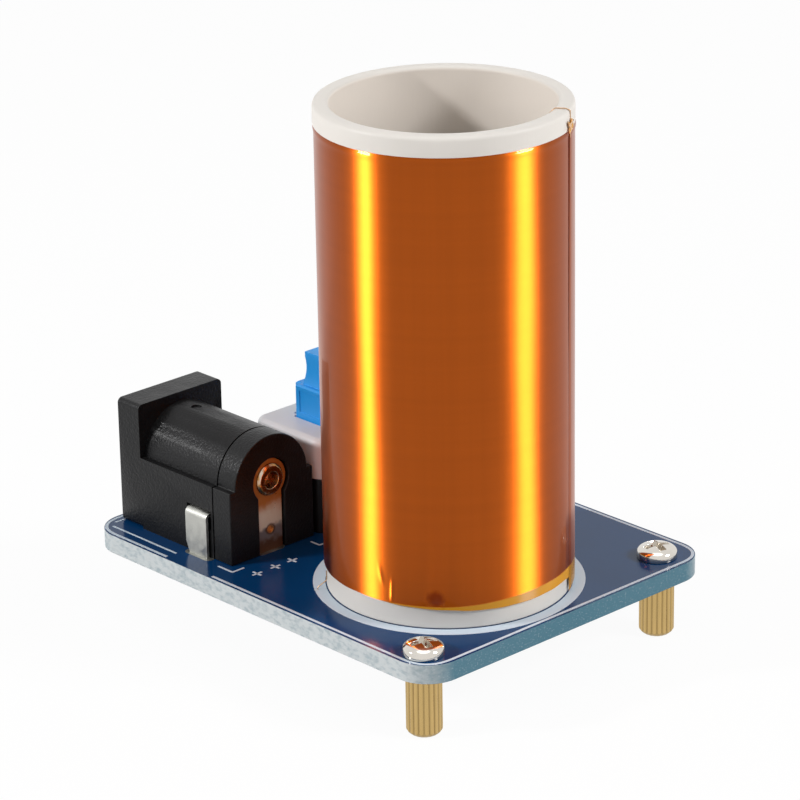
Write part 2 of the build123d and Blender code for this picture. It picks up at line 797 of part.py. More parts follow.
groove_width = 2 * (latch_wire_radius + groove_play)
groove_bottom = latch_tip_height
groove_corners = [
    (0, groove_bottom),
    (-latch_shift, groove_bottom + travel),
    (return_offset / 3, groove_bottom + latched_depth),
    (return_offset, groove_bottom + travel - return_top_drop),
    (return_offset, groove_bottom + return_foot_rise),
]
with BuildPart() as switch_plunger:
    with BuildSketch(at_switch(skirt_bottom)):
        Rectangle(skirt_x, skirt_y)
    extrude(amount=skirt_height)
    with BuildSketch(at_switch(skirt_bottom)):
        Rectangle(key_side, key_side)
        Rectangle(2 * key_rib_reach, key_rib_width)
    extrude(amount=key_top - skirt_bottom)
    chamfer(switch_plunger.edges().group_by(Axis.Z)[-1], key_edge)
    with BuildSketch(stem_front.offset(key_side / 2)):
        with Locations((0, (switch_height + key_top) / 2)):
            Rectangle(key_panel_width, key_panel_height)
    extrude(amount=-key_panel_depth, mode=Mode.SUBTRACT)
    add(waisted_stem.part)
    with BuildSketch(at_switch(skirt_bottom)):
        Circle(spring_pocket_radius)
    extrude(amount=spring_pocket_top - skirt_bottom, mode=Mode.SUBTRACT)
    # heart-shaped groove round an island: up the slanted side as the button goes
    # down, back into the notch to latch, and down the far side on the next press
    groove_face = Plane((switch_x, switch_y + skirt_y / 2, board_top), x_dir=(-1, 0, 0), z_dir=(0, 1, 0))
    with BuildSketch(groove_face):
        for start, end in zip(groove_corners, groove_corners[1:] + groove_corners[:1]):
            with BuildLine():
                Line(start, end)
            trace(line_width=groove_width)
            with Locations(start):
                Circle(groove_width / 2)
    extrude(amount=-groove_depth, mode=Mode.SUBTRACT)
switch_plunger.part.label = "switch_plunger"

# Two leaf bridges ride on the skirt.  Each touches the common blade and one of
# the other two.
bump = pad_face - bridge_gap - bridge_thickness / 2
rest = skirt_x / 2 + layer_clearance + bridge_thickness / 2
half_bridge = [
    (bump - bridge_tail_drop, terminal_pitch + bridge_tail),
    (bump, terminal_pitch),
    (rest, terminal_pitch - bridge_ramp),
    (rest, bridge_ramp),
]
with BuildPart() as switch_contact_bridges:
    for side in (-1, 1):
        far_half = [(side * reach, along) for reach, along in half_bridge]
        near_half = [(side * reach, -along) for reach, along in reversed(half_bridge)]
        with BuildSketch(at_switch(high_contact_foot + bridge_foot_rise)):
            with BuildLine():
                Polyline(*far_half, (side * bump, 0), *near_half)
            trace(line_width=bridge_thickness)
        extrude(amount=bridge_height)
switch_contact_bridges.part.label = "switch_contact_bridges"

spring_foot = base_top + spring_wire_radius + spring_seat_gap
spring_head = spring_pocket_top - spring_wire_radius - spring_seat_gap
spring_rise = (spring_head - spring_foot) / (spring_turns * spring_steps)
with BuildPart() as switch_spring:
    for step in range(spring_turns * spring_steps + 1):
        angle = 2 * pi * step / spring_steps
        outward = (cos(angle), sin(angle), 0)
        centre = (
            switch_x + spring_radius * cos(angle),
            switch_y + spring_radius * sin(angle),
            board_top + spring_foot + spring_rise * step,
        )
        with BuildSketch(Plane(centre, x_dir=outward, z_dir=(-sin(angle), cos(angle), 0))):
            RegularPolygon(spring_wire_radius, wire_sides)
    loft(ruled=True)
switch_spring.part.label = "switch_spring"

tip_y = skirt_y / 2 - groove_depth + latch_tip_gap
pivot_end_y = switch_inside / 2 + cover_wall - latch_skin - latch_end_gap
with BuildPart() as switch_latch_wire:
    with BuildLine() as latch_line:
        FilletPolyline(
            (switch_x, switch_y + pivot_end_y, board_top + latch_pivot_height),
            (switch_x, switch_y + latch_arm_y, board_top + latch_pivot_height),
            (switch_x, switch_y + latch_arm_y, board_top + latch_tip_height),
            (switch_x, switch_y + tip_y, board_top + latch_tip_height),
            radius=latch_bend,
        )
    with BuildSketch(Plane(latch_line.wire() @ 0, z_dir=latch_line.wire() % 0)):
        RegularPolygon(latch_wire_radius, wire_sides)
    sweep(path=latch_line.wire())
switch_latch_wire.part.label = "switch_latch_wire"

# --------------------------------------------------------------- driver circuit
transistor_x = -board_length / 2 + transistor_inset_x
transistor_y = board_width / 2 - transistor_inset_y
diode_x = -board_length / 2 + diode_inset_x
diode_y = board_width / 2 - diode_inset_y
capacitor_place, *resistor_places = [
    (-board_length / 2 + chip_inset_x, board_width / 2 - chip_inset_y - row * chip_pitch) for row in range(3)
]


def under(x, y, depth=0):
    """A plane facing down, a given depth under the board, with its origin at a place."""
    return Plane((x, y, board_bottom - depth), x_dir=(1, 0, 0), z_dir=(0, 0, -1))


with BuildPart() as driver_transistor:
    with BuildSketch(under(transistor_x, transistor_y, lead_thickness)):
        Rectangle(transistor_width, transistor_length)
    extrude(amount=transistor_height - lead_thickness, taper=transistor_draft)
driver_transistor.part.label = "driver_transistor"

with BuildPart() as transistor_leads:
    with BuildSketch(under(transistor_x, transistor_y)):
        with Locations((0, -tab_reach / 2)):
            Rectangle(tab_width, transistor_length + tab_reach)
        with Locations((0, (transistor_length + lead_run) / 2)):
            with GridLocations(leg_pitch, 0, 2, 1):
                Rectangle(lead_width, lead_run)
    extrude(amount=lead_thickness)
transistor_leads.part.label = "transistor_leads"

chip_body = chip_length - 2 * chip_cap
with BuildPart() as chip_resistors:
    for place in resistor_places:
        with BuildSketch(under(*place)):
            Rectangle(chip_body, chip_width)
        extrude(amount=resistor_thickness)
chip_resistors.part.label = "chip_resistors"

with BuildPart() as chip_capacitor:
    with BuildSketch(under(*capacitor_place)):
        Rectangle(chip_body, chip_width)
    extrude(amount=capacitor_thickness)
chip_capacitor.part.label = "chip_capacitor"

with BuildPart() as chip_end_caps:
    for place, thickness in (
        (capacitor_place, capacitor_thickness),
        (resistor_places[0], resistor_thickness),
        (resistor_places[1], resistor_thickness),
    ):
        with BuildSketch(under(*place)):
            with GridLocations(chip_length - chip_cap, 0, 2, 1):
                Rectangle(chip_cap, chip_width)
        extrude(amount=thickness)
chip_end_caps.part.label = "chip_end_caps"

with BuildPart() as protection_diode:
    with BuildSketch(under(diode_x, diode_y, diode_lead_thickness)):
        Rectangle(diode_length, diode_width)
    extrude(amount=diode_height, taper=diode_draft)
protection_diode.part.label = "protection_diode"

with BuildPart() as diode_leads:
    with BuildSketch(under(diode_x, diode_y)):
        with GridLocations(diode_length - diode_foot, 0, 2, 1):
            Rectangle(2 * diode_foot, diode_lead_width)
    extrude(amount=diode_lead_thickness)
diode_leads.part.label = "diode_leads"

# Solder round the legs that come through the board, one sloped heap on each.
legs = (
    [(rear_leg_x, jack_y, strip_thickness, leg_width)]
    + [(leaf_leg_x, jack_y, leaf_thickness, leg_width)]
    + [(side_leg_x, side_leg_y, side_terminal_leg_width, leaf_thickness)]
    + [(x, y, terminal_thickness, terminal_width) for x, y in switch_legs]
)
with BuildPart() as solder_joints:
    for x, y, along_x, along_y in legs:
        with BuildSketch(under(x, y)):
            Rectangle(along_x + 2 * pad_margin, along_y + 2 * pad_margin)
        extrude(amount=solder_height, taper=solder_slope)
        with BuildSketch(under(x, y)):
            Rectangle(along_x, along_y)
        extrude(amount=solder_height, mode=Mode.SUBTRACT)
solder_joints.part.label = "solder_joints"

# ---------------------------------------------------------------------- writing
pieces = [
    circuit_board, primary_coil_track, standoffs, standoff_screws,
    coil_tube, secondary_winding, insulating_tape, top_lead_wire, bottom_lead_wire, lead_tape_patch,
    jack_housing, jack_rear_cap, jack_centre_pin, jack_rear_terminal, jack_sleeve_spring, jack_side_terminal,
    switch_cover, switch_base, switch_terminals, switch_plunger, switch_contact_bridges,
    switch_spring, switch_latch_wire,
    driver_transistor, transistor_leads, chip_resistors, chip_capacitor, chip_end_caps,
    protection_diode, diode_leads, solder_joints,
]
os.makedirs("parts", exist_ok=True)
for piece in pieces:
    export_step(piece.part, f"parts/{piece.part.label}.step")
print("turns of wire in the winding:", winding_turns)
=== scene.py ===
"""Dresses the desktop resonant transformer: its finishes, its finer shapes and the studio.

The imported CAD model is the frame.  Lengths are in metres, with MM for millimetres, and
bearings are in degrees, anticlockwise from +X as seen from above.
"""

import json
import math

import bmesh
import bpy
import numpy as np
from mathutils import Matrix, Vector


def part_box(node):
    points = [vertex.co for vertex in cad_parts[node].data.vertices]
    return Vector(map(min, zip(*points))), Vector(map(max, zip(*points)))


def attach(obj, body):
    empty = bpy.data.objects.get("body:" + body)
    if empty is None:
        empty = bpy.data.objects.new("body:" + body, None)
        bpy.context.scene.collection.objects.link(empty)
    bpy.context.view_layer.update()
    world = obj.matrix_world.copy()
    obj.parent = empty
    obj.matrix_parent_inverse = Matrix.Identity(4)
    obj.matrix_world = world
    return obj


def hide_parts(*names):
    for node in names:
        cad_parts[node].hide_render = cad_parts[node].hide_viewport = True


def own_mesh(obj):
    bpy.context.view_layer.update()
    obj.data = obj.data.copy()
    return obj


bl_info = {
    "name": "Desktop Resonant Transformer",
    "version": (1, 0, 0),
    "blender": (4, 5, 0),
    "location": "View3D > Sidebar > Transformer",
    "description": "Builds the finishes and finer shapes of a small resonant transformer",
    "category": "Object",
}

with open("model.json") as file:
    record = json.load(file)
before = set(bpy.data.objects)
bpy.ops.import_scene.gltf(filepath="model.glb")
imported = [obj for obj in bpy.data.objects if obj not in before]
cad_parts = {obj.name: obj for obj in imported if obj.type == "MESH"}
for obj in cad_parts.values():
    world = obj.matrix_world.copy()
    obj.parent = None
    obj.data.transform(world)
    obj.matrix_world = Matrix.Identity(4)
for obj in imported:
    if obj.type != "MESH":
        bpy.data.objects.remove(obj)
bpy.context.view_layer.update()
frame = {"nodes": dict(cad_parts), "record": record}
record = frame["record"]
body_of_node = {node: body for body, nodes in record["behaviour"]["bodies"].items() for node in nodes}
slot_of_node = {part["node"]: part["material_slot"] for part in record["subparts"]}

MM = 0.001
ROOT = "board_assembly"
CREASE = 35  # degrees between two faces from which their edge stays sharp


# ------------------------------------------------------------- places in the frame
def corners(node):
    """Lowest and highest corner of a CAD node."""
    low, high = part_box(node)
    return np.array(low), np.array(high)


def solids(node):
    """Lowest and highest corners of each separate solid of a CAD node.

    Corners of the triangles that share a place get one number.  Each triangle then takes
    the lowest number among its corners, again and again, until each solid has only one.
    """
    mesh = frame["nodes"][node].data
    places = np.zeros(3 * len(mesh.vertices), np.float32)
    mesh.vertices.foreach_get("co", places)
    places = places.reshape(-1, 3).astype(float)
    triangles = np.zeros(3 * len(mesh.loop_triangles), np.int32)
    mesh.loop_triangles.foreach_get("vertices", triangles)
    shared = np.unique(np.round(places / (0.001 * MM)), axis=0, return_inverse=True)[1].ravel()
    triangles = shared[triangles.reshape(-1, 3)]
    label = np.arange(shared.max() + 1)
    while True:
        lowest = label.copy()
        np.minimum.at(lowest, triangles, label[triangles].min(axis=1, keepdims=True))
        if np.array_equal(lowest, label):
            break
        label = lowest
    solid = label[shared]
    groups = [places[solid == one] for one in np.unique(solid)]
    return [(group.min(axis=0), group.max(axis=0)) for group in groups]


board_low, board_high = corners("circuit_board")
board_top = board_high[2]
board_bottom = board_low[2]
board_corner = 3.0 * MM  # radius, seen from above
tube_low, tube_high = corners("coil_tube")
tube_bore = 8.85 * MM  # radius of the inner face
tube_wall = 9.9 * MM  # radius of the outer face
rim_radius = (tube_high[0] - tube_low[0]) / 2
coil_low, coil_high = corners("secondary_winding")
coil_axis = (coil_low + coil_high) / 2
winding_radius = (coil_high[0] - coil_low[0]) / 2
ranges = {joint["name"]: joint.get("range_m") for joint in record["behaviour"]["joints"]}
button_travel = ranges["button_press"][1]


# ------------------------------------------------------------------ working surfaces
def around(axis, radius, bearing, height):
    """Places at a radius and a bearing round an upright axis, and at a height."""
    turn = np.radians(bearing)
    across = axis[0] + radius * np.cos(turn)
    along = axis[1] + radius * np.sin(turn)
    return np.stack(np.broadcast_arrays(across, along, height), axis=-1)


def eased(points, cut, steps, closed=True):
    """A line with its corners rounded: from cut before each corner to cut after it runs
    the curve (1-t)^2 before + 2t(1-t) corner + t^2 after."""
    points = np.asarray(points, float)
    cut = np.broadcast_to(cut, len(points))[:, None]
    back = np.roll(points, 1, axis=0) - points
    ahead = np.roll(points, -1, axis=0) - points
    before = points + back * cut / np.linalg.norm(back, axis=1, keepdims=True)
    after = points + ahead * cut / np.linalg.norm(ahead, axis=1, keepdims=True)
    if not closed:
        before[0] = after[0] = points[0]
        before[-1] = after[-1] = points[-1]
    t = np.linspace(0, 1, steps)[None, :, None]
    curve = (1 - t) ** 2 * before[:, None] + 2 * t * (1 - t) * points[:, None] + t**2 * after[:, None]
    if not closed:
        return np.vstack([points[:1], curve[1:-1].reshape(-1, points.shape[1]), points[-1:]])
    return curve.reshape(-1, points.shape[1])


def shell(points, ring=False, ends=False):
    """A closed surface from a grid points[row, column]: its vertices, quads and triangles.

    The last column joins the first, ring joins the last row to the first, and ends closes
    the first and last rows with fans to their middles.  Where the signed volume, a sixth
    of the sum of a . (b x c) over the triangles, is negative, all turn.
    """
    rows, columns = points.shape[:2]
    index = np.arange(rows * columns).reshape(rows, columns)
    index = np.concatenate([index, index[:, :1]], axis=1)
    if ring:
        index = np.concatenate([index, index[:1]], axis=0)
    quads = np.stack([index[:-1, :-1], index[:-1, 1:], index[1:, 1:], index[1:, :-1]], axis=-1)
    quads = quads.reshape(-1, 4)
    vertices = points.reshape(-1, 3)
    fans = np.zeros((0, 3), int)
    if ends:
        middle = len(vertices)
        vertices = np.vstack([vertices, points[0].mean(axis=0), points[-1].mean(axis=0)])
        first, last = index[0], index[rows - 1]
        low_fan = np.stack([np.full(len(first) - 1, middle), first[1:], first[:-1]], axis=-1)
        high_fan = np.stack([np.full(len(last) - 1, middle + 1), last[:-1], last[1:]], axis=-1)
        fans = np.vstack([low_fan, high_fan])
    triangles = np.vstack([quads[:, :3], quads[:, [0, 2, 3]], fans])
    a, b, c = (vertices[triangles[:, k]] - vertices[0] for k in range(3))
    if np.sum(a * np.cross(b, c)) < 0:
        quads, fans = quads[:, ::-1], fans[:, ::-1]
    return vertices, quads, fans


def revolved(profile, axis, segments):
    """A profile of (radius, height) turned about an upright axis.  A profile that starts
    and ends on the axis closes itself, and any other is a ring."""
    profile = np.asarray(profile, float)
    bearing = np.arange(segments) * 360 / segments
    points = around(axis, profile[:, :1], bearing[None, :], profile[:, 1:])
    return shell(points, ring=profile[0, 0] > 0)


def swept(path, section, side):
    """A section carried along a path.  Its first number goes across the path, square to
    the side direction's part along it, and its second goes along cross(run, across)."""
    path = np.asarray(path, float)
    run = np.gradient(path, axis=0)
    run /= np.linalg.norm(run, axis=1, keepdims=True)
    across = np.broadcast_to(np.asarray(side, float), path.shape)
    across = across - run * np.sum(run * across, axis=1, keepdims=True)
    across = across / np.linalg.norm(across, axis=1, keepdims=True)
    up = np.cross(run, across)
    section = np.asarray(section, float)
    offset = across[:, None] * section[None, :, :1] + up[:, None] * section[None, :, 1:]
    return shell(path[:, None] + offset, ends=True)


def circle(radius, count):
    """Corners of a round section."""
    turn = np.arange(count) * 2 * math.pi / count
    return radius * np.stack([np.cos(turn), np.sin(turn)], axis=-1)


def slab(outline, low, high):
    """An upright slab between two heights.  Its outline has to be convex."""
    layers = [np.column_stack([outline, np.full(len(outline), height)]) for height in (low, high)]
    return shell(np.array(layers), ends=True)


def make_piece(name, shells, finish, stands_for=()):
    """One object from closed surfaces, with its doubles merged, smooth but for its creases."""
    vertices, faces, start = [], [], 0
    for places, quads, fans in shells:
        vertices.append(places)
        faces += (quads + start).tolist() + (fans + start).tolist()
        start += len(places)
    mesh = bpy.data.meshes.new(name)
    mesh.from_pydata(np.vstack(vertices).tolist(), [], faces)
    place_piece(name, mesh, finish, ROOT, stands_for)


def place_piece(name, mesh, finish, body, stands_for):
    """Merges a mesh's doubles and puts it in the scene as a piece that rides on a body."""
    work = bmesh.new()
    work.from_mesh(mesh)
    bmesh.ops.remove_doubles(work, verts=work.verts, dist=0.0002 * MM)
    work.to_mesh(mesh)
    work.free()
    mesh.shade_smooth()
    mesh.set_sharp_from_angle(angle=math.radians(CREASE))
    cover(mesh, finish)
    piece = bpy.data.objects.new(name, mesh)
    bpy.context.scene.collection.objects.link(piece)
    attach(piece, body)
    if stands_for:
        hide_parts(*stands_for)
    return piece


def ease_node(node, finish, easing, above=None, below=None):
    """A copy of a CAD node in its place, with flat faces made whole and its edges eased.
    It may be only what lies above a height, or below it as black moulding, with the cut
    closed."""
    mesh = frame["nodes"][node].data.copy()
    work = bmesh.new()
    work.from_mesh(mesh)
    bmesh.ops.remove_doubles(work, verts=work.verts, dist=0.002 * MM)
    flatten(work)
    name, slot = node + "_eased", slot_of_node[node]
    if above:
        name = node + "_top"
    elif below:
        name, slot = node + "_foot", "black_moulding"
    if above or below:
        cut = bmesh.ops.bisect_plane(
            work,
            geom=[*work.verts, *work.edges, *work.faces],
            plane_co=(0, 0, above or below),
            plane_no=(0, 0, 1),
            clear_inner=bool(above),
            clear_outer=bool(below),
        )
        rim = [part for part in cut["geom_cut"] if isinstance(part, bmesh.types.BMEdge)]
        bmesh.ops.triangle_fill(work, edges=rim, use_beauty=True)
        bmesh.ops.recalc_face_normals(work, faces=work.faces)
        flatten(work)
    work.to_mesh(mesh)
    work.free()
    piece = place_piece(name, mesh, finish, body_of_node[node], (node,))
    bevel = piece.modifiers.new("eased edges", "BEVEL")
    bevel.width = easing
    bevel.segments = 2
    bevel.limit_method = "ANGLE"
    bevel.angle_limit = math.radians(CREASE)
    bevel.harden_normals = True


def flatten(work):
    """Makes one face of neighbours that lie within half a degree of flat."""
    bmesh.ops.dissolve_limit(work, angle_limit=math.radians(0.5), verts=work.verts, edges=work.edges)


def cover(mesh, finish):
    """Gives a mesh one finish all over."""
    mesh.materials.clear()
    mesh.materials.append(finish)


def finish_node(node, finish):
    """Gives a CAD node that stays its finish."""
    cover(frame["nodes"][node].data, finish)


# -------------------------------------------------------------------------- finishes
class Wire:
    """A socket of a shader, for maths on values written as Python expressions."""

    def __init__(self, finish, socket):
        self.finish = finish
        self.socket = socket

    def math(self, operation, *values):
        return self.finish.add("ShaderNodeMath", {"operation": operation}, values)

    def __add__(self, other):
        return self.math("ADD", self, other)

    def __sub__(self, other):
        return self.math("SUBTRACT", self, other)

    def __mul__(self, other):
        return self.math("MULTIPLY", self, other)

    def __rsub__(self, other):
        return self.math("SUBTRACT", other, self)

    __radd__ = __add__
    __rmul__ = __mul__


class Nodes:
    """A node tree, with one method that adds a node of any type to it."""

    def __init__(self, tree):
        self.tree = tree

    def add(self, kind, settings, inputs, output=0):
        """Adds a node of any type.  Its settings are set first, then the values or links of
        its sockets, given by name, number or order."""
        node = self.tree.nodes.new(kind)
        for name, value in settings.items():
            setattr(node, name, value)
        pairs = inputs.items() if isinstance(inputs, dict) else enumerate(inputs)
        for socket, value in pairs:
            if isinstance(value, Wire):
                self.tree.links.new(value.socket, node.inputs[socket])
            else:
                node.inputs[socket].default_value = value
        return Wire(self, node.outputs[output])

    def seen(self):
        """One for a ray that comes from the camera, a gloss or a glass, and otherwise nought."""
        path = self.add("ShaderNodeLightPath", {}, {}).socket.node.outputs
        seen = Wire(self, path["Is Camera Ray"])
        for kind in ("Is Glossy Ray", "Is Transmission Ray"):
            seen = seen.math("MAXIMUM", seen, Wire(self, path[kind]))
        return seen


class Finish(Nodes):
    """A procedural material round one Principled shader."""

    def __init__(self, name, **numbers):
        self.material = bpy.data.materials.new(name)
        self.material.use_nodes = True
        super().__init__(self.material.node_tree)
        self.shader = self.tree.nodes["Principled BSDF"]
        for socket, number in numbers.items():
            self.shader.inputs[socket.replace("_", " ")].default_value = number
        metres = self.add("ShaderNodeTexCoord", {}, {}, "Object")
        self.place = self.vector("SCALE", {0: metres, "Scale": 1 / MM})

    def vector(self, operation, inputs, output=0):
        """Maths on vectors."""
        return self.add("ShaderNodeVectorMath", {"operation": operation}, inputs, output)

    def distance(self, place, point):
        """How far a place is from a point, which the node gives as its second output."""
        return self.vector("DISTANCE", [place, point], 1)

    def paint(self, **wires):
        """Links wires to the shader's sockets, named with underscores for spaces."""
        for socket, wire in wires.items():
            self.tree.links.new(wire.socket, self.shader.inputs[socket.replace("_", " ")])
        return self.material

    def parts(self, vector):
        """The three numbers of a vector."""
        node = self.add("ShaderNodeSeparateXYZ", {}, [vector]).socket.node
        return [Wire(self, socket) for socket in node.outputs]

    def noise(self, size, detail=3.0, stretch=(1, 1, 1)):
        """Noise from 0 to 1 whose grain is size millimetres, times stretch each way."""
        scaled = self.vector("MULTIPLY", [self.place, tuple(1 / (size * s) for s in stretch)])
        return self.add("ShaderNodeTexNoise", {}, {"Vector": scaled, "Scale": 1.0, "Detail": detail})

    def step(self, value, low, high, bottom=0.0, top=1.0):
        """A smooth step from bottom at low to top at high."""
        inputs = [value, low, high, bottom, top]
        return self.add("ShaderNodeMapRange", {"interpolation_type": "SMOOTHSTEP"}, inputs)

    def blend(self, share, first, second):
        """A colour that goes from the first to the second."""
        first, second = (c if isinstance(c, Wire) else (*c[:3], 1) for c in (first, second))
        return self.add("ShaderNodeMix", {"data_type": "RGBA"}, {0: share, 6: first, 7: second}, 2)

    def bump(self, height, depth, strength=1.0):
        """A normal from a height of 0 to 1, depth millimetres deep."""
        inputs = {"Strength": strength, "Distance": depth * MM, "Height": height}
        return self.add("ShaderNodeBump", {}, inputs)


def shaded(colour, factor):
    """A colour made lighter or darker."""
    return tuple(min(1.0, part * factor) for part in colour[:3])


def board_finish(colours):
    """Blue solder mask on top and below, and bare glass-fibre laminate on the sides."""
    finish = Finish("blue solder mask", Specular_IOR_Level=0.2)
    normal = finish.add("ShaderNodeTexCoord", {}, {}, "Normal")
    side_y, side_z = finish.parts(normal)[1:]
    level = side_z.math("ABSOLUTE", side_z)
    flat = finish.step(level, 0.35, 0.8)
    cloud = finish.noise(4.0)
    mask = finish.blend(cloud, shaded(colours.mask, 0.88), shaded(colours.mask, 1.12))
    fibre = finish.noise(0.4, 4.0, (1.4, 1.4, 0.8))
    fleck = finish.step(finish.noise(0.14, 2.0, (1.5, 1.5, 0.8)), 0.56, 0.72)
    cut = side_y.math("ABSOLUTE", side_y)
    resin = finish.blend(cut, colours.routed_edge, colours.snapped_edge)
    resin = finish.blend(finish.step(fibre, 0.25, 0.6, 0.6, 1.0), colours.routed_edge, resin)
    resin = finish.blend(fleck * 0.2, resin, colours.fibre)
    rough = finish.step(flat, 0.0, 1.0, 0.55, 0.18)
    relief = finish.bump(fibre * (1 - flat), 0.012)
    return finish.paint(Base_Color=finish.blend(flat, resin, mask), Roughness=rough, Normal=relief)


def legend_finish(colours):
    """White printing ink, a little uneven."""
    finish = Finish("printed legend", Roughness=0.55)
    grain = finish.noise(0.25)
    return finish.paint(
        Base_Color=finish.blend(grain, shaded(colours.legend, 0.9), colours.legend),
        Roughness=finish.step(grain, 0.2, 0.8, 0.45, 0.65),
    )


def copper_finish(colours):
    """Copper track under solder mask: lighter than the mask on bare laminate."""
    finish = Finish("masked copper", Roughness=0.3, Specular_IOR_Level=0.3)
    cloud = finish.noise(2.0)
    base = finish.blend(cloud, shaded(colours.mask, 1.5), shaded(colours.mask, 2.1))
    return finish.paint(Base_Color=base, Normal=finish.bump(finish.noise(0.2), 0.004))


def tube_finish(colours):
    """Off-white moulded tube with a faint lengthwise grain. Its inside is the same plastic painted lighter
    and warmer as painted light, and darker with depth as painted shade.
    """
    finish = Finish("off-white tube", Roughness=0.5, Specular_IOR_Level=0.4)
    cloud = finish.noise(3.0, 2.0)
    grain = finish.noise(0.3, 3.0, (1, 1, 12))
    place = finish.vector("SUBTRACT", [finish.place, (coil_axis[0] / MM, coil_axis[1] / MM, 0)])
    across, along, height = finish.parts(place)
    squared = across * across + along * along
    bore, top = tube_bore / MM, tube_high[2] / MM
    inside = finish.step(squared.math("SQRT", squared), bore + 0.1, bore - 0.05)
    # Painted shade: the inside darkens from just under the rim to 9 mm down
    depth = finish.step(height, top - 0.45, top - 8.95)
    outside = finish.blend(cloud, shaded(colours.tube, 0.96), colours.tube)
    inside_lit_and_shaded = finish.blend(depth, colours.tube_inside_painted_light, shaded(colours.tube_inside_painted_light, 0.66))
    return finish.paint(
        Base_Color=finish.blend(inside, outside, inside_lit_and_shaded),
        Roughness=finish.step(cloud, 0.2, 0.8, 0.42, 0.58),
        Normal=finish.bump(grain, 0.006),
    )


def winding_height(finish):
    """Relief of touching turns of wire: one ridge for each wire's width of height."""
    wire_width = 0.1  # mm
    ridge = finish.parts(finish.place)[2] * (1 / wire_width)
    return ridge.math("PINGPONG", ridge, 0.5) * 2.0


def winding_finish(colours):
    """Enamelled copper wire, turn on turn."""
    finish = Finish(
        "enamelled copper", Metallic=1.0, Roughness=0.3, Anisotropic=0.7, Coat_Weight=0.6, Coat_Roughness=0.08
    )
    streak = finish.noise(0.5, 3.0, (60, 60, 1))
    base = finish.blend(streak, shaded(colours.wire, 0.85), shaded(colours.wire, 1.1))
    return finish.paint(Base_Color=base, Normal=finish.bump(winding_height(finish), 0.02, 0.3))


def tape_finish(colours, seam, lap):
    """Clear amber tape.  Over the winding it shows the copper, and under its lower end it
    is amber over the white tube.  It is darker where it lies double."""
    finish = Finish(
        "amber tape",
        Specular_IOR_Level=0.25,
        Anisotropic=colours.tape_stretch,
        Anisotropic_Rotation=colours.tape_turn,
        Coat_Roughness=0.03,
        Coat_IOR=1.25,
    )
    across, along, height = finish.parts(finish.place)
    centre = [along - coil_axis[1] / MM, across - coil_axis[0] / MM]
    turn = finish.add("ShaderNodeMath", {"operation": "ARCTAN2"}, centre) * math.degrees(1)
    # The wire shows from 1.92 mm over the board, and from 0.41 mm more at 8 to 50 degrees
    foot, climb = board_top / MM + 1.92, 0.41
    first_turn = finish.step(turn, -48, 8) * finish.step(turn, 120, 50) * climb + foot
    on_wire = finish.step(height - first_turn, -0.06, 0.06)
    streak = finish.noise(0.5, 4.0, (80, 80, 1.2))
    upright = finish.noise(0.6, 2.0, (1, 1, 90))
    copper = finish.blend(streak, shaded(colours.wire, 0.92), shaded(colours.wire, 1.06))
    copper = finish.blend(finish.step(upright, 0.3, 0.7, 0.0, 0.2), copper, shaded(colours.wire, 0.8))
    doubled = finish.step(turn, seam, seam + 0.4) * finish.step(turn, seam + lap, seam + lap - 0.4)
    # A dark red area low on the lap, a painted reflection of the board with less coat on it, and a spot where
    # the tape is pressed hard on to the wire
    painted_board_reflection = finish.step(turn, seam - 5, seam - 3) * finish.step(turn, seam + 30, seam + 20)
    painted_board_reflection = painted_board_reflection * finish.step(height, board_top / MM + 7.5, board_top / MM + 5.9)
    spot = around(coil_axis, winding_radius, -49.8, board_top + 2.6 * MM) / MM
    off = finish.distance(finish.place, tuple(spot)) + finish.noise(0.5) * 0.5
    copper = finish.blend(painted_board_reflection * 0.85, copper, colours.doubled)
    copper = finish.blend(finish.step(off, 1.15, 0.6) * 0.9, copper, colours.doubled)
    amber = finish.blend(finish.noise(0.8), shaded(colours.tape, 0.9), colours.tape)
    amber = finish.blend(doubled * 0.7, amber, shaded(colours.tape, 0.35))
    return finish.paint(
        Base_Color=finish.blend(on_wire, amber, copper),
        Metallic=on_wire,
        Roughness=finish.step(on_wire, 0.0, 1.0, 0.25, colours.tape_roughness),
        Coat_Weight=finish.step(painted_board_reflection, 0.0, 1.0, 0.4, 0.1),
        Normal=finish.bump(winding_height(finish), 0.01, 0.15),
    )


def scrap_finish(colours):
    """A loose scrap of amber tape, its colour lifted far above the tape's as a painted glow of light through
    it and its glints.
    """
    finish = Finish("amber scrap", Roughness=0.2, Coat_Weight=0.8, Coat_Roughness=0.05)
    crease = finish.noise(0.6)
    # Painted light: the tape's colour at 1.6 to 3.2 times, for light through the scrap
    base = finish.blend(crease, shaded(colours.tape, 1.6), shaded(colours.tape, 3.2))
    return finish.paint(Base_Color=base, Normal=finish.bump(crease, 0.12, 0.8))


def lead_finish(colours):
    """A single enamelled wire."""
    finish = Finish("enamelled lead", Metallic=0.8, Roughness=0.3, Coat_Weight=0.5)
    tone = finish.noise(0.6)
    return finish.paint(Base_Color=finish.blend(tone, shaded(colours.lead, 0.8), shaded(colours.lead, 1.15)))


def metal_finish(name, colour, roughness, wear):
    """Bare or plated metal with fine scratches and a little uneven polish."""
    finish = Finish(name, Metallic=1.0)
    polish = finish.noise(0.8, 4.0)
    scratch = finish.noise(0.12)
    base = finish.blend(polish, shaded(colour, 0.86), shaded(colour, 1.06))
    return finish.paint(
        Base_Color=base,
        Roughness=finish.step(polish, 0.25, 0.75, roughness * 0.75, roughness * 1.3),
        Normal=finish.bump(scratch, wear),
    )


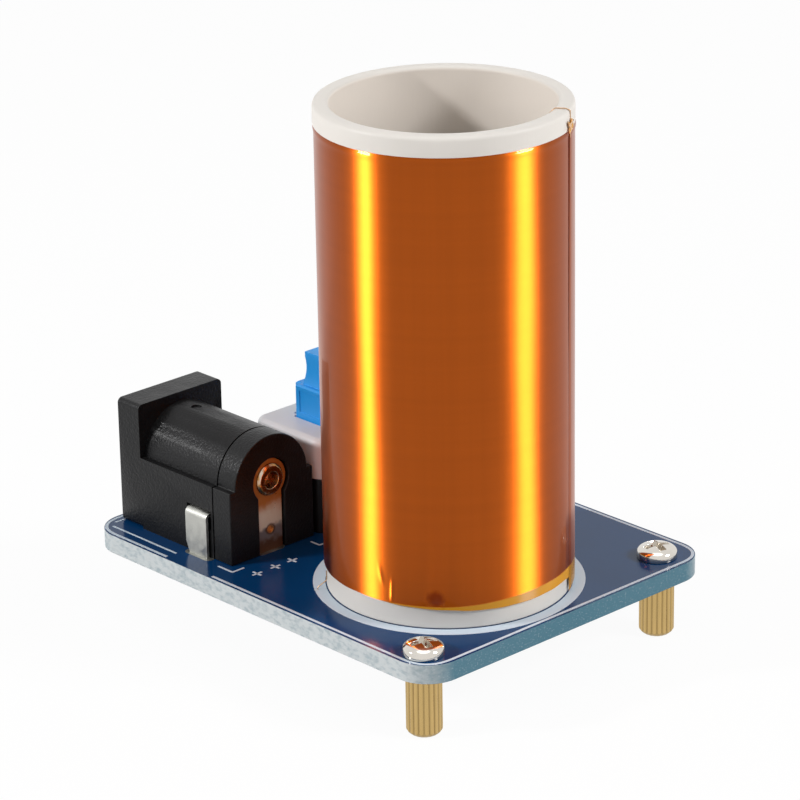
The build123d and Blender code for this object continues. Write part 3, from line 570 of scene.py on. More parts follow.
def brass_finish(colours, radius, knurl):
    """Satin brass, painted browner in the valleys of the knurl as painted shade: the nearest pillar's
    axis gives how deep a place lies."""
    finish = Finish("satin brass", Metallic=1.0)
    level = finish.vector("MULTIPLY", [finish.place, (1, 1, 0)])
    nearest = None
    for low, high in solids("standoffs"):
        off = finish.distance(level, (*(low + high)[:2] / 2 / MM, 0))
        nearest = off.math("MINIMUM", off, nearest) if nearest else off
    # Painted shade: the knurl's valleys are darkened toward a third of the brass colour
    valley_shade = finish.step(nearest, (radius - 0.2 * knurl) / MM, (radius - 0.8 * knurl) / MM)
    polish = finish.noise(0.5, 4.0, (1, 1, 4))
    base = finish.blend(polish, shaded(colours.brass, 0.85), shaded(colours.brass, 1.15))
    return finish.paint(
        Base_Color=finish.blend(valley_shade * 0.45, base, shaded(colours.brass, 0.35)),
        Roughness=finish.step(polish, 0.25, 0.75, 0.22, 0.38),
        Normal=finish.bump(finish.noise(0.12, 3.0, (1, 1, 10)), 0.006),
    )


def rivet_finish(colours):
    """The jack's plated pin, whose rear end is painted brown in blotches as a painted reflection of the
    copper coil.
    """
    finish = Finish("plated pin", Metallic=1.0)
    across = finish.parts(finish.place)[0]
    rear = corners("jack_centre_pin")[1][0] / MM
    blotch = finish.noise(0.5)
    # Painted reflection: brown blotches at the rear end stand for the copper coil seen in the pin
    painted_coil_reflection = finish.step(across, rear - 1.4, rear - 0.9) * finish.step(blotch, 0.3, 0.6, 0.45, 0.95)
    return finish.paint(
        Base_Color=finish.blend(painted_coil_reflection, colours.nickel, shaded(colours.stain_and_coil_reflection, 0.9)),
        Roughness=finish.step(blotch, 0.3, 0.7, 0.14, 0.28),
        Normal=finish.bump(finish.noise(0.3), 0.03),
    )


def strip_finish(colours):
    """Tinned strip behind the jack: heat-stained amber at the top, a dark blue-grey painted
    shade low down, and brown at its foot, where a stained ring surrounds the round punch mark."""
    finish = Finish("stained strip", Metallic=0.35)
    low, high = (corner / MM for corner in corners("jack_rear_terminal"))
    blotch = finish.noise(0.9) * 1.6 - 0.8
    over_board = finish.parts(finish.place)[2] + blotch - board_top / MM
    bright, painted_shade_blue_grey = (0.7, 0.72, 0.6), (0.08, 0.09, 0.12)
    # Painted shade: the tin goes dark blue-grey below about 2 mm over the board
    base = finish.blend(finish.step(over_board, 2.4, 1.7) * 0.8, bright, painted_shade_blue_grey)
    base = finish.blend(finish.step(over_board, 3.0, 4.6), base, colours.stain_and_coil_reflection)
    base = finish.blend(finish.step(over_board, 1.4, 0.7) * 0.9, base, shaded(colours.stain_and_coil_reflection, 0.25))
    mark = (high[0], (low[1] + high[1]) / 2, board_top / MM + 1.9)
    from_mark = finish.distance(finish.place, mark) + blotch * 0.3
    base = finish.blend(finish.step(from_mark, 0.6, 0.35) * 0.8, base, shaded(colours.stain_and_coil_reflection, 0.2))
    base = finish.blend(finish.step(from_mark, 0.35, 0.2), base, shaded(colours.stain_and_coil_reflection, 1.5))
    return finish.paint(
        Base_Color=base,
        Roughness=finish.step(blotch, -0.6, 0.6, 0.25, 0.42),
        Normal=finish.bump(finish.noise(0.12, 3.0, (1, 1, 8)), 0.004),
    )


def moulding_finish(name, colour, roughness, grain, depth, cloud=0.06, gloss=0.5):
    """Moulded plastic: a spark-eroded grain, uneven sheen and slightly uneven colour."""
    finish = Finish(name, Specular_IOR_Level=gloss)
    speck = finish.noise(grain, 2.0)
    shade = finish.noise(2.5)
    base = finish.blend(shade, shaded(colour, 1 - cloud), shaded(colour, 1 + cloud))
    return finish.paint(
        Base_Color=base,
        Roughness=finish.step(shade, 0.25, 0.75, roughness * 0.85, roughness * 1.15),
        Normal=finish.bump(speck, depth),
    )


# ---------------------------------------------------------------- sizes and colours
def number_property(name, description, default, unit="NONE"):
    """A number, shown in its unit where it has one."""
    return bpy.props.FloatProperty(name=name, description=description, default=default, unit=unit)


def colour_property(name, description, default):
    """A colour that shows as a swatch."""
    return bpy.props.FloatVectorProperty(
        name=name, description=description, default=default, subtype="COLOR", size=3, min=0, max=1
    )


class TransformerSizes(bpy.types.PropertyGroup):
    """Sizes of the finer shapes, which the CAD frame leaves to this script."""

    tape_thickness: number_property("Tape thickness", "One layer of the insulating tape", 0.06 * MM, "LENGTH")
    tape_overlap: number_property("Tape overlap", "How far it runs over its own start, in degrees", 40.0)
    seam_bearing: number_property("Seam bearing", "Bearing of the tape's outer end, in degrees", 27.5)
    lead_radius: number_property("Lead radius", "The two wires that leave the winding", 0.045 * MM, "LENGTH")
    knurl_teeth: bpy.props.IntProperty(
        name="Knurl teeth", description="Straight ridges round a standoff", default=20, min=8
    )
    knurl_depth: number_property("Knurl depth", "Depth of the knurl's valleys", 0.09 * MM, "LENGTH")
    legend_width: number_property("Legend width", "Width of the printed lines", 0.28 * MM, "LENGTH")
    legend_inset: number_property("Legend inset", "Edge line's middle from the edge", 0.36 * MM, "LENGTH")


class TransformerColours(bpy.types.PropertyGroup):
    """Colours of the finishes, as linear values, and the tape's sheen."""

    mask: colour_property("Solder mask", "Blue of the board's two faces", (0.0015, 0.038, 0.13))
    routed_edge: colour_property("Routed edge", "Laminate on the board's short sides", (0.07, 0.18, 0.24))
    snapped_edge: colour_property("Snapped edge", "Laminate on the board's long sides", (0.56, 0.6, 0.61))
    fibre: colour_property("Fibre", "Glass fibres in the laminate's cut sides", (0.72, 0.76, 0.78))
    legend: colour_property("Legend", "Printing ink", (0.58, 0.67, 0.76))
    tube: colour_property("Tube", "Outside of the coil's tube", (0.76, 0.72, 0.67))
    # Painted light: the tube's own plastic, painted lighter and warmer for its inside
    tube_inside_painted_light: colour_property("Tube inside", "Lining of the coil's tube", (0.85, 0.77, 0.69))
    wire: colour_property("Wire", "Enamelled copper under the tape", (0.42, 0.083, 0.0055))
    # Also the colour of the painted dark reflection of the board low on the lap
    doubled: colour_property("Doubled tape", "Copper under two layers of tape", (0.22, 0.032, 0.006))
    lead: colour_property("Lead", "Single enamelled wire", (0.6, 0.38, 0.22))
    tape: colour_property("Tape", "Amber tape over the white tube", (0.26, 0.115, 0.004))
    tape_roughness: number_property("Tape roughness", "How far the winding spreads its highlights", 0.42)
    tape_stretch: number_property("Tape stretch", "How much longer than wide the highlights are", 1.0)
    tape_turn: number_property("Tape turn", "Direction of those highlights, as a share of a turn", 0.25)
    brass: colour_property("Brass", "Knurled standoffs", (0.58, 0.4, 0.16))
    nickel: colour_property("Nickel", "Plated screws and the jack's pin", (0.72, 0.68, 0.62))
    tin: colour_property("Tin", "Tinned contacts and terminals", (0.6, 0.6, 0.56))
    # Heat stain on the strip, and also the pin's painted reflection of the copper coil
    stain_and_coil_reflection: colour_property("Stain", "Heat-stained end of the rear strip", (0.44, 0.2, 0.045))
    solder: colour_property("Solder", "Solder joints", (0.66, 0.67, 0.68))
    black: colour_property("Black moulding", "Housing of the power jack", (0.006, 0.006, 0.0066))
    white: colour_property("White moulding", "Body of the switch", (0.64, 0.65, 0.67))
    blue: colour_property("Blue moulding", "Button of the switch", (0.016, 0.3, 0.76))
    resin: colour_property("Resin", "Cases of the transistor and diode", (0.02, 0.02, 0.021))
    ceramic: colour_property("Ceramic", "Body of the chip capacitor", (0.38, 0.25, 0.14))


class TransformerStudio(bpy.types.PropertyGroup):
    """Levels of the plain studio."""

    floor: colour_property("Floor", "Colour of the floor", (0.86, 0.86, 0.86))
    side_power: number_property("Side power", "Power of each of the two side lamps", 1.1, "POWER")
    streak_power: number_property("Streak power", "Power of the lamps that only the tape sees", 2.7, "POWER")
    top_power: number_property("Top power", "Power of the wide lamp overhead", 0.65, "POWER")
    surround: number_property("Surround", "Level of the light from all round", 0.22)
    whiteness: number_property("Whiteness", "Share of plain white in the floor as it is seen", 0.95)


# ------------------------------------------------------------------------ the studio
def direction(bearing, rise):
    """The direction of a bearing and of a rise over level, both in degrees."""
    turn, lift = math.radians(bearing), math.radians(rise)
    return np.array([math.cos(lift) * math.cos(turn), math.cos(lift) * math.sin(turn), math.sin(lift)])


def aimed(place, back, roll=0.0):
    """The matrix of a lamp or camera at a place that looks against back, level but for roll."""
    right = np.cross((0, 0, 1), back)
    right /= np.linalg.norm(right)
    up = np.cross(back, right)
    cosine, sine = math.cos(math.radians(roll)), math.sin(math.radians(roll))
    turned = np.eye(4)
    turned[:3, 0] = cosine * right + sine * up
    turned[:3, 1] = cosine * up - sine * right
    turned[:3, 2] = back
    turned[:3, 3] = place
    return Matrix(turned.tolist())


class MakeStudio(bpy.types.Operator):
    """Makes the floor, the light all round, the lamps and the camera."""

    bl_idname = "transformer.make_studio"
    bl_label = "Make Studio"

    def execute(self, context):
        studio = context.scene.transformer_studio
        self.make_floor(studio)
        self.make_surround(context, studio)
        self.make_lamps(context, studio)
        self.make_camera(context)
        return {"FINISHED"}

    def make_floor(self, studio):
        """A level square whose own colour and shadow mix with plain white."""
        reach = 3.0
        places = [(-reach, -reach, 0), (reach, -reach, 0), (reach, reach, 0), (-reach, reach, 0)]
        mesh = bpy.data.meshes.new("floor")
        mesh.from_pydata(places, [], [(0, 1, 2, 3)])
        finish = Finish("pale floor", Roughness=0.9)
        finish.shader.inputs["Base Color"].default_value = (*studio.floor, 1)
        seen = finish.seen() * studio.whiteness
        white = finish.add("ShaderNodeEmission", {}, {"Color": (1, 1, 1, 1), "Strength": 1.0})
        mixed = finish.add("ShaderNodeMixShader", {}, [seen, Wire(finish, finish.shader.outputs[0]), white])
        finish.tree.links.new(mixed.socket, finish.tree.nodes["Material Output"].inputs["Surface"])
        cover(mesh, finish.material)
        floor = bpy.data.objects.new("floor", mesh)
        bpy.context.scene.collection.objects.link(floor)

    def make_surround(self, context, studio):
        """A plain grey world for light, and a white one for what sees it directly."""
        world = bpy.data.worlds.new("surround")
        world.use_nodes = True
        context.scene.world = world
        nodes = Nodes(world.node_tree)
        background = nodes.tree.nodes["Background"]
        background.inputs["Color"].default_value = (1, 1, 1, 1)
        level = nodes.seen() * (1 - studio.surround) + studio.surround
        nodes.tree.links.new(level.socket, background.inputs["Strength"])

    def make_lamps(self, context, studio):
        """Two lamps at the sides, a wide one overhead, and two low ones that draw the
        streaks on the tape and light nothing else, all aimed at the coil."""
        target = np.array([coil_axis[0], coil_axis[1], 25 * MM])
        side, streak, near = studio.side_power, studio.streak_power, 0.42
        # Name, bearing and rise in degrees, distance and sizes in metres, power, and the
        # one piece that the lamp lights where it doesn't light them all
        lamps = (
            ("left lamp", -118.0, 27.0, near, (0.05, 0.05), side, None),
            ("right lamp", 28.8, 34.0, near, (0.12, 0.12), side, None),
            ("overhead", -43.0, 80.0, 0.6, (0.5, 0.5), studio.top_power, None),
            ("left streak", -115.5, 4.0, near, (0.1, 0.1), streak, "tape"),
            ("right streak", 29.2, 4.0, near, (0.14, 0.1), streak * 1.2, "tape"),
        )
        for name, bearing, rise, distance, size, power, lit in lamps:
            light = bpy.data.lights.new(name, "AREA")
            light.shape = "ELLIPSE"
            light.size, light.size_y = size
            light.energy = power
            lamp = bpy.data.objects.new(name, light)
            context.scene.collection.objects.link(lamp)
            if lit:
                lamp.light_linking.receiver_collection = bpy.data.collections.new(name)
                lamp.light_linking.receiver_collection.objects.link(bpy.data.objects[lit])
            away = direction(bearing, rise)
            lamp.matrix_world = aimed(target + distance * away, away)

    def make_camera(self, context):
        """The photograph's viewpoint, fitted to the board's corners, the tube and the jack."""
        bearing, rise, roll = -43.003, 21.132, -0.968
        place = np.array([0.209945, -0.195118, 0.129814])
        lens = bpy.data.cameras.new("camera")
        lens.lens = 169.577
        lens.sensor_width = 36.0
        lens.clip_start = 0.01
        camera = bpy.data.objects.new("camera", lens)
        context.scene.collection.objects.link(camera)
        camera.matrix_world = aimed(place, direction(bearing, rise), roll)
        context.scene.camera = camera


# ------------------------------------------------------------------------ the pieces
class MakeBoard(bpy.types.Operator):
    """Makes the board, its legend, its pads and the printed primary coil."""

    bl_idname = "transformer.make_board"
    bl_label = "Make Board"

    def execute(self, context):
        sizes = context.scene.transformer_sizes
        colours = context.scene.transformer_colours
        ease_node("circuit_board", board_finish(colours), 0.07 * MM)
        finish_node("primary_coil_track", copper_finish(colours))
        strokes = [self.edge_line(sizes), *self.part_outlines(sizes), self.coil_ring()]
        make_piece("legend", strokes, legend_finish(colours))
        tin = metal_finish("tinned pads", shaded(colours.tin, 0.5), 0.45, 0.02)
        make_piece("pads", self.pads(), tin)
        return {"FINISHED"}

    def stroke(self, line, width):
        """One printed line, as a thin flat bar with rounded shoulders."""
        line = np.asarray(line, float)
        line = np.column_stack([line, np.full(len(line), board_top + 0.004 * MM)])
        half, ink = width / 2, 0.006 * MM
        section = [(-ink, -half), (-ink, half), (2 * ink, 0.85 * half), (2 * ink, -0.85 * half)]
        return swept(line, section, (0, 0, 1))

    def edge_line(self, sizes):
        """The line round the board's edge, broken where the jack's side terminal stands."""
        inset = sizes.legend_inset
        low, high = board_low[:2] + inset, board_high[:2] - inset
        terminal_low, terminal_high = corners("jack_side_terminal")
        gap_start, gap_end = terminal_low[0] - 0.1 * MM, terminal_high[0] + 3.0 * MM
        route = [(gap_end, low[1]), (high[0], low[1]), high, (low[0], high[1]), low, (gap_start, low[1])]
        return self.stroke(eased(route, board_corner - inset, 14, closed=False), sizes.legend_width)

    # Corners of the short lines and middles of the crosses, in mm from the board's middle
    short_lines = (
        ((-18.9, -14.72), (-10.75, -14.72)),
        ((-19.4, -14.1), (-19.4, -13.1)),
        ((-4.55, -12.75), (-4.55, -14.0), (-6.3, -14.0)),
        ((-4.67, -5.29), (-3.62, -5.29), (-3.62, -4.3)),
    )
    crosses = ((-2.9, -12.77), (-2.9, -10.8), (-2.9, -8.96))

    def part_outlines(self, sizes):
        """Short lines and crosses printed beside the jack and the switch."""
        lines, arm = list(self.short_lines), 0.5
        for x, y in self.crosses:
            lines.append([(x - arm, y), (x + arm, y)])
            lines.append([(x, y - arm), (x, y + arm)])
        lines = [eased(np.array(line) * MM, 0.1 * MM, 4, closed=False) for line in lines]
        return [self.stroke(line, 0.75 * sizes.legend_width) for line in lines]

    def coil_ring(self):
        """The wide ring printed round the foot of the coil."""
        inner, outer, shoulder = 9.99 * MM, 11.0 * MM, 0.02 * MM
        low, high = board_top - 0.002 * MM, board_top + 0.014 * MM
        profile = [(inner, low), (outer, low), (outer - shoulder, high), (inner + shoulder, high)]
        return revolved(profile, coil_axis, 160)

    def pads(self):
        """Round-ended tinned pads about the jack's legs, on the board's upper face: circles
        whose halves are moved apart."""
        rear_low, rear_high = corners("jack_rear_terminal")
        side_low, side_high = corners("jack_side_terminal")
        rear = (rear_low + rear_high)[:2] / 2
        side = ((side_low[0] + side_high[0]) / 2 + 0.25 * MM, side_low[1] + 0.15 * MM)
        made = []
        for middle, apart, radius in ((rear, (0.0, 0.9 * MM), 0.6 * MM), (side, (1.1 * MM, 0.0), 0.5 * MM)):
            outline = circle(radius, 48)
            outline += np.sign(np.round(outline, 9)) * np.array(apart) + np.array(middle)
            made.append(slab(outline, board_top - 0.004 * MM, board_top + 0.012 * MM))
        return made


class MakeHardware(bpy.types.Operator):
    """Makes the knurled standoffs and the screws that hold the board on them."""

    bl_idname = "transformer.make_hardware"
    bl_label = "Make Hardware"

    def execute(self, context):
        sizes = context.scene.transformer_sizes
        colours = context.scene.transformer_colours
        places = solids("standoffs")
        radius = (places[0][1][0] - places[0][0][0]) / 2
        brass = brass_finish(colours, radius, sizes.knurl_depth)
        pillars = [self.pillar(low, high, sizes) for low, high in places]
        make_piece("knurled_pillars", pillars, brass, stands_for=("standoffs",))
        nickel = metal_finish("bright nickel", colours.nickel, 0.09, 0.002)
        screws = [self.screw(low, high) for low, high in solids("standoff_screws")]
        make_piece("pan_screws", screws, nickel, stands_for=("standoff_screws",))
        return {"FINISHED"}

    def pillar(self, low, high, sizes):
        """A pillar turned from its outline.  Its outside is pulled in by the knurl, whose
        depth goes as (1 - |cos(teeth x bearing / 2)|), and its bores have a thread whose
        depth goes as a saw of bearing / 360 - height / pitch."""
        radius, bevel, bore = (high[0] - low[0]) / 2, 0.36 * MM, 0.8 * MM
        pitch, thread_depth = 0.4 * MM, 0.1 * MM
        lower, upper = 2.2 * MM, high[2] - 1.8 * MM
        outside = [(bore, 0), (radius - bevel, 0), (radius, bevel), (radius, high[2])]
        profile = np.vstack(
            [
                [(0, lower)],
                self.bore_wall(bore, lower, 0, 49),
                eased(outside, 0.16 * MM, 5, closed=False)[1:],
                self.bore_wall(bore, high[2], upper, 41),
                [(0, upper)],
            ]
        )
        columns = 8 * sizes.knurl_teeth
        bearing = np.arange(columns) * 360 / columns
        reach, height = profile[:, :1], profile[:, 1:]
        ridge = 1 - np.abs(np.cos(np.radians(sizes.knurl_teeth * bearing / 2)))
        knurled = np.clip((reach - bore) / (radius - bore), 0, 1) ** 2
        thread = np.abs((bearing / 360 - height / pitch) % 1 - 0.5) * 2
        in_bore = np.isclose(reach, bore)
        reach = reach - knurled * ridge * sizes.knurl_depth + in_bore * thread * thread_depth
        return shell(around((low + high) / 2, reach, bearing[None, :], height))

    def bore_wall(self, radius, start, end, rows):
        """Places (radius, height) down or up the wall of a bore."""
        return np.column_stack([np.full(rows, radius), np.linspace(start, end, rows)])

    def screw(self, low, high):
        """A pan head over a shank.  The dome's height goes as (1 - r^n)^(1/n), and two
        crossed slots whose walls slope are cut into it."""
        radius, shank, turned = (high[0] - low[0]) / 2, 0.78 * MM, 18
        head = high[2] - board_top
        brim, power = 0.36 * head, 2.3
        arm, slot, depth, slope = 1.1 * MM, 0.29 * MM, 0.72 * MM, 0.35
        rows, columns = 60, 168
        share = np.linspace(0, 1, rows) ** 0.8
        dome = brim + (head - brim) * (1 - share**power) ** (1 / power)
        top = np.column_stack([share * radius, board_top + dome])
        under = [(radius, board_top + brim), (radius, board_top), (shank, board_top), (shank, low[2])]
        profile = np.vstack([top, eased([*under, (0, low[2])], 0.08 * MM, 4, closed=False)[1:]])
        bearing = np.arange(columns) * 360 / columns
        reach, height = profile[:, :1], np.broadcast_to(profile[:, 1:], (len(profile), columns)).copy()
        turn = np.radians(bearing + turned)
        east, north = np.abs(reach[:rows] * np.cos(turn)), np.abs(reach[:rows] * np.sin(turn))
        border = np.minimum(np.maximum(east / arm, north / slot), np.maximum(north / arm, east / slot))
        height[:rows] -= depth * np.clip((1 - border) / slope, 0, 1)
        return shell(around((low + high) / 2, reach, bearing[None, :], height))


class MakeCoil(bpy.types.Operator):
    """Makes the tube, the tape round the winding, the two leads and the tape's scrap."""

    bl_idname = "transformer.make_coil"
    bl_label = "Make Coil"

    def execute(self, context):
        sizes = context.scene.transformer_sizes
        colours = context.scene.transformer_colours
        self.make_tube(colours)
        self.make_winding(colours)
        self.make_tape(sizes, colours)
        self.make_leads(sizes, colours)
        self.make_scrap(sizes, colours)
        return {"FINISHED"}

    def make_tube(self, colours):
        """The tube's wall, turned from its profile, with rounded rims."""
        foot, top, bead = tube_low[2], tube_high[2], coil_high[2]
        wall = [(tube_bore, foot), (tube_wall, foot), (tube_wall, bead)]
        rim = [(rim_radius, bead), (rim_radius, top), (tube_bore, top)]
        easing = np.array([0.02, 0.12, 0.02, 0.08, 0.42, 0.34]) * MM
        tube = revolved(eased(wall + rim, easing, 7), coil_axis, 192)
        make_piece("tube_wall", [tube], tube_finish(colours), stands_for=("coil_tube",))

    def make_winding(self, colours):
        """The sleeve of wire, turned from its profile, up to the rim from under the tape's
        highest lower edge."""
        foot, top = board_top + 2.0 * MM, coil_high[2]
        profile = [(tube_wall, foot), (winding_radius, foot), (winding_radius, top), (tube_wall, top)]
        sleeve = revolved(eased(profile, 0.05 * MM, 5), coil_axis, 192)
        finish = winding_finish(colours)
        make_piece("winding", [sleeve], finish, stands_for=("secondary_winding",))

    # Wrinkles and bubbles of the tape: bearing, height over the lower edge and half sizes
    # in degrees and mm, how far it stands out in mm, and degrees of lean for a mm of height
    wrinkles = (
        (-70.5, 1.1, 0.7, 0.85, 0.045, 0.3),
        (-72.3, 2.2, 0.9, 0.6, 0.022, -1.6),
        (-54.8, 0.6, 0.6, 0.16, 0.035, 0.0),
        (-46.5, 0.45, 0.5, 0.3, 0.03, 0.0),
        (25.5, 3.3, 0.6, 0.3, 0.03, 0.0),
        (31.0, 3.7, 0.6, 0.3, 0.03, 0.0),
        (-120.8, 1.8, 0.6, 0.2, 0.03, 0.0),
        (-121.2, 1.1, 0.6, 0.2, 0.03, 0.0),
    )

    # Lower edge of the tape: degrees on from its start, and mm over the board
    tape_edge = (
        (0, 1.5),
        (37, 1.34),
        (46, 1.5),
        (98, 1.51),
        (118, 1.7),
        (150, 1.96),
        (200, 2.0),
        (300, 1.5),
        (360, 0.6),
        (396.5, 0.45),
        (400, 0.17),
    )

    def make_tape(self, sizes, colours):
        """One turn and a lap of tape, t degrees on from its start under the lap.

        The bearing is seam + lap - t.  The radius rises by one thickness in the last lap,
        where the tape lies over its own start.  The lower edge runs askew through the
        heights of tape_edge, the last of which is a corner that hangs almost to the board.
        Gaussian wrinkles stand on the face, and its upper edge is rolled on to the rim.
        """
        lap, thick = sizes.tape_overlap, sizes.tape_thickness
        t = np.linspace(0, 360 + lap, 800)[:, None]
        bearing = sizes.seam_bearing + lap - t
        lapped = np.clip((t - 356) / 5, 0, 1)
        lapped = lapped * lapped * (3 - 2 * lapped)
        inner = winding_radius + 0.012 * MM + lapped * (thick + 0.004 * MM)
        along, rises = np.array(self.tape_edge).T
        waves = 0.02 * np.sin(np.radians(7 * bearing)) + 0.012 * np.sin(np.radians(23 * bearing))
        low = board_top + MM * (np.interp(t, along, rises) + waves)
        high = coil_high[2] - 0.01 * MM + 0 * t
        steps = np.sin(np.linspace(0, math.pi / 2, 84))[None, :] ** 2
        rise = low + (high - low) * steps
        swell = 0.006 * MM * np.sin(np.radians(11 * bearing) + 9 * steps) * np.sin(math.pi * steps)
        for middle, lift, wide, tall, height, lean in self.wrinkles:
            off = (bearing - middle - lean * (rise - low) / MM) / wide
            up = ((rise - low) / MM - lift) / tall
            swell = swell + height * MM * np.exp(-(off**2) - up**4)
        swell = swell + 0.06 * MM * np.exp(-(((high - rise) / MM - 0.3) ** 2) / 0.045)
        # The outer end thins to an edge over its last 2.5 degrees
        thick = thick * (0.12 + 0.88 * np.clip((360 + lap - t) / 2.5, 0, 1))
        front = around(coil_axis, inner + thick + swell, bearing, rise)
        rear = around(coil_axis, inner, bearing, low + (high - low) * np.linspace(0, 1, 6))
        tape = shell(np.concatenate([front, rear[:, ::-1]], axis=1), ends=True)
        finish = tape_finish(colours, sizes.seam_bearing, lap)
        make_piece("tape", [tape], finish, stands_for=("insulating_tape",))

    def make_leads(self, sizes, colours):
        """The winding's two ends.  The upper lead climbs over the rim and lies along the
        inside of it.  The lower one leaves the winding's foot and goes down through the
        board."""
        radius, seam, foot = sizes.lead_radius, sizes.seam_bearing, -123.0
        outside = winding_radius + 2 * sizes.tape_thickness + radius + 0.02 * MM
        inside = tube_bore - radius - 0.06 * MM
        over = tube_high[2] + radius + 0.02 * MM
        landing = winding_radius + 0.75 * MM
        # Radius, bearing and height of each corner, before it is rounded
        upper = (
            (outside, seam, coil_high[2] - 0.6 * MM),
            (outside, seam, over - 0.15 * MM),
            (rim_radius - 0.3 * MM, seam - 0.5, over),
            (inside + 0.3 * MM, seam - 1.5, over),
            (inside, seam - 2, over - 0.3 * MM),
            (inside, seam - 18, tube_high[2] - 0.65 * MM),
        )
        lower = (
            (winding_radius, foot, coil_low[2] - 0.02 * MM),
            (winding_radius, foot, board_top + 0.75 * MM),
            (landing, foot, board_top + 0.2 * MM),
            (landing, foot, board_bottom - 0.6 * MM),
        )
        finish = lead_finish(colours)
        for name, route, bend, square, node in (
            ("upper_lead", upper, 0.14 * MM, seam + 90, "top_lead_wire"),
            ("lower_lead", lower, 0.15 * MM, foot + 90, "bottom_lead_wire"),
        ):
            reach, bearing, height = np.array(route).T
            path = eased(around(coil_axis, reach, bearing, height), bend, 7, closed=False)
            lead = swept(path, circle(radius, 12), around((0, 0), 1.0, square, 0.0))
            make_piece(name, [lead], finish, stands_for=(node,))

    def make_scrap(self, sizes, colours):
        """The scrap of tape that holds the upper lead, with t across it and s up it.  Its
        half width goes as 1 - 0.3 sin(6 s), its ends wave as sin(4 t), and it lifts off the
        lead as sin(9 s + 4 t)."""
        low, high = corners("lead_tape_patch")
        t, s = np.linspace(-1, 1, 25)[:, None], np.linspace(0, 1, 25)[None, :]
        bearing = sizes.seam_bearing - 0.8 + 3.0 * t * (1 - 0.3 * np.sin(6 * s))
        rise = (low[2] + high[2]) / 2 + (0.85 * s + 0.12 * np.sin(4 * t) - 0.05) * MM
        over_lead = winding_radius + 2 * (sizes.tape_thickness + sizes.lead_radius) + 0.05 * MM
        lift = over_lead + 0.04 * MM * np.sin(9 * s + 4 * t)
        front = around(coil_axis, lift + sizes.tape_thickness, bearing, rise)
        rear = around(coil_axis, lift, bearing, rise)
        scrap = shell(np.concatenate([front, rear[:, ::-1]], axis=1), ends=True)
        finish = scrap_finish(colours)
        make_piece("tape_scrap", [scrap], finish, stands_for=("lead_tape_patch",))


class MakeJack(bpy.types.Operator):
    """Makes the power jack: its housing, rear cap, pin, contacts and terminals."""

    bl_idname = "transformer.make_jack"
    bl_label = "Make Jack"

    def execute(self, context):
        colours = context.scene.transformer_colours
        black = moulding_finish("black moulding", colours.black, 0.36, 0.2, 0.045, 0.15, 0.22)
        ease_node("jack_housing", black, 0.17 * MM)
        ease_node("jack_rear_cap", black, 0.1 * MM)
        ease_node("jack_centre_pin", rivet_finish(colours), 0.05 * MM)
        ease_node("jack_rear_terminal", strip_finish(colours), 0.04 * MM)
        tin = metal_finish("tinned sheet", shaded(colours.tin, 0.85), 0.48, 0.01)
        ease_node("jack_side_terminal", tin, 0.05 * MM)
        ease_node("jack_sleeve_spring", tin, 0.03 * MM)
        return {"FINISHED"}


class MakeSwitch(bpy.types.Operator):
    """Makes the latching push switch: its body, button, contacts, spring and latch wire."""

    bl_idname = "transformer.make_switch"
    bl_label = "Make Switch"

    def execute(self, context):
        colours = context.scene.transformer_colours
        white = moulding_finish("white moulding", colours.white, 0.42, 0.2, 0.004)
        blue = moulding_finish("blue moulding", colours.blue, 0.38, 0.15, 0.004)
        tin = metal_finish("tinned blades", colours.tin, 0.35, 0.003)
        steel = metal_finish("spring steel", shaded(colours.tin, 0.9), 0.25, 0.002)
        black = moulding_finish("black base", colours.black, 0.4, 0.2, 0.01, 0.1, 0.2)
        cut = board_top + 4.8 * MM
        ease_node("switch_cover", white, 0.08 * MM, above=cut)
        ease_node("switch_cover", black, 0.08 * MM, below=cut)
        ease_node("switch_base", black, 0.05 * MM)
        ease_node("switch_plunger", blue, 0.07 * MM)
        ease_node("switch_terminals", tin, 0.03 * MM)
        finish_node("switch_contact_bridges", tin)
        self.make_spring(steel)
        finish_node("switch_latch_wire", steel)
        return {"FINISHED"}

    def make_spring(self, steel):
        """The return spring: a copy of the CAD node in its place, which keeps its length as the button goes
        down.
        """
        node = "switch_spring"
        mesh = frame["nodes"][node].data.copy()
        spring = place_piece(node + "_coil", mesh, steel, body_of_node[node], (node,))
        foot, head = corners(node)
        length = head[2] - foot[2]
        keep = float(1 - button_travel / length)
        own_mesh(spring)


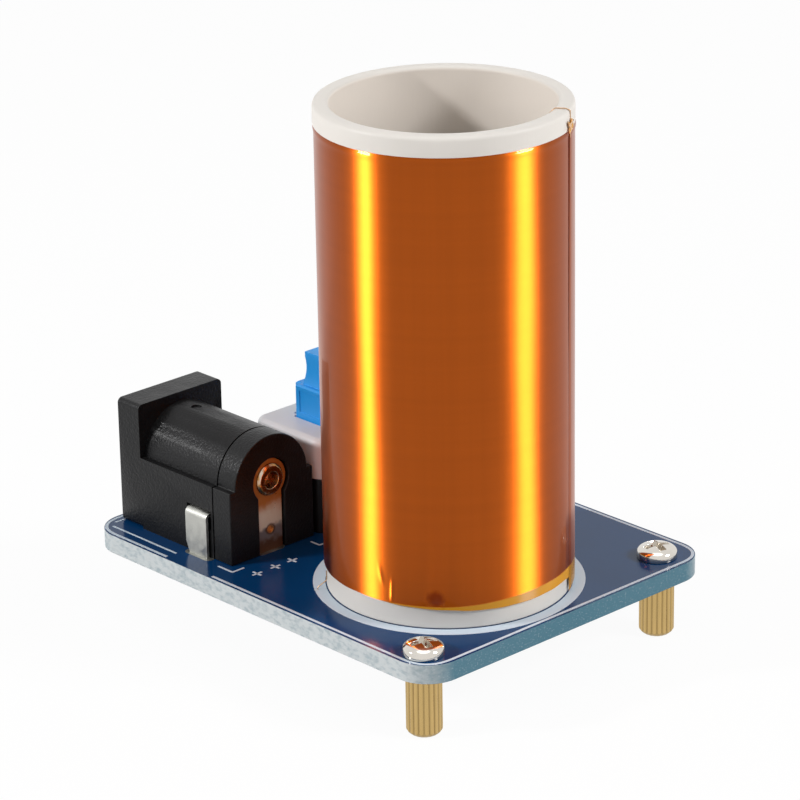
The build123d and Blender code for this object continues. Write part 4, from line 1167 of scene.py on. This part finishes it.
class MakeDriver(bpy.types.Operator):
    """Makes the driver circuit on the underside and the solder round the legs."""

    bl_idname = "transformer.make_driver"
    bl_label = "Make Driver"

    def execute(self, context):
        colours = context.scene.transformer_colours
        resin = moulding_finish("matt resin", colours.resin, 0.55, 0.08, 0.01, 0.2)
        ceramic = moulding_finish("chip ceramic", colours.ceramic, 0.6, 0.1, 0.008)
        tin = metal_finish("tinned leads", colours.tin, 0.35, 0.003)
        solder = metal_finish("bright solder", colours.solder, 0.2, 0.01)
        for node in ("driver_transistor", "protection_diode", "chip_resistors"):
            ease_node(node, resin, 0.06 * MM)
        ease_node("chip_capacitor", ceramic, 0.06 * MM)
        ease_node("chip_end_caps", solder, 0.05 * MM)
        for node in ("transistor_leads", "diode_leads"):
            ease_node(node, tin, 0.04 * MM)
        heaps = [self.heap(low, high) for low, high in solids("solder_joints")]
        make_piece("solder_cones", heaps, solder, stands_for=("solder_joints",))
        return {"FINISHED"}

    def heap(self, low, high):
        """Solder drawn up a leg: an oval whose half widths fall from the pad's to the
        leg's as the square of what is left of the height."""
        middle, half, leg, rows, columns = (low + high) / 2, (high - low) / 2, 0.32, 14, 40
        left = 1 - np.linspace(0, 1, rows)[:, None]
        share = leg + (1 - leg) * left**2
        turn = np.radians(np.arange(columns) * 360 / columns)[None, :]
        squared = (np.abs(np.cos(turn)) ** 4 + np.abs(np.sin(turn)) ** 4) ** -0.25
        across = middle[0] + half[0] * share * squared * np.cos(turn)
        along = middle[1] + half[1] * share * squared * np.sin(turn)
        height = high[2] - (1 - left) * 2 * half[2] + 0 * turn
        return shell(np.stack([across, along, height], axis=-1), ends=True)


class TransformerPanel(bpy.types.Panel):
    """Lists what can be made."""

    bl_idname = "VIEW3D_PT_transformer"
    bl_label = "Transformer"
    bl_space_type = "VIEW_3D"
    bl_region_type = "UI"
    bl_category = "Transformer"

    def draw(self, context):
        for maker in MAKERS:
            self.layout.operator(maker.bl_idname)
        for group in (
            context.scene.transformer_sizes,
            context.scene.transformer_colours,
            context.scene.transformer_studio,
        ):
            column = self.layout.column()
            for name in group.bl_rna.properties.keys():
                if name not in ("rna_type", "name"):
                    column.prop(group, name)


MAKERS = (MakeBoard, MakeHardware, MakeCoil, MakeJack, MakeSwitch, MakeDriver, MakeStudio)
CLASSES = (TransformerSizes, TransformerColours, TransformerStudio, *MAKERS, TransformerPanel)


def register():
    """Registers the classes and adds their sizes and colours to the scene."""
    for item in CLASSES:
        bpy.utils.register_class(item)
    bpy.types.Scene.transformer_sizes = bpy.props.PointerProperty(type=TransformerSizes)
    bpy.types.Scene.transformer_colours = bpy.props.PointerProperty(type=TransformerColours)
    bpy.types.Scene.transformer_studio = bpy.props.PointerProperty(type=TransformerStudio)


def unregister():
    """Undoes register."""
    del bpy.types.Scene.transformer_studio
    del bpy.types.Scene.transformer_colours
    del bpy.types.Scene.transformer_sizes
    for item in reversed(CLASSES):
        bpy.utils.unregister_class(item)


def main():
    """Makes everything."""
    register()
    bpy.ops.transformer.make_board()
    bpy.ops.transformer.make_hardware()
    bpy.ops.transformer.make_coil()
    bpy.ops.transformer.make_jack()
    bpy.ops.transformer.make_switch()
    bpy.ops.transformer.make_driver()
    bpy.ops.transformer.make_studio()
    bpy.context.scene.view_settings.view_transform = "Standard"
    bpy.context.view_layer.update()


if __name__ == "__main__":
    main()
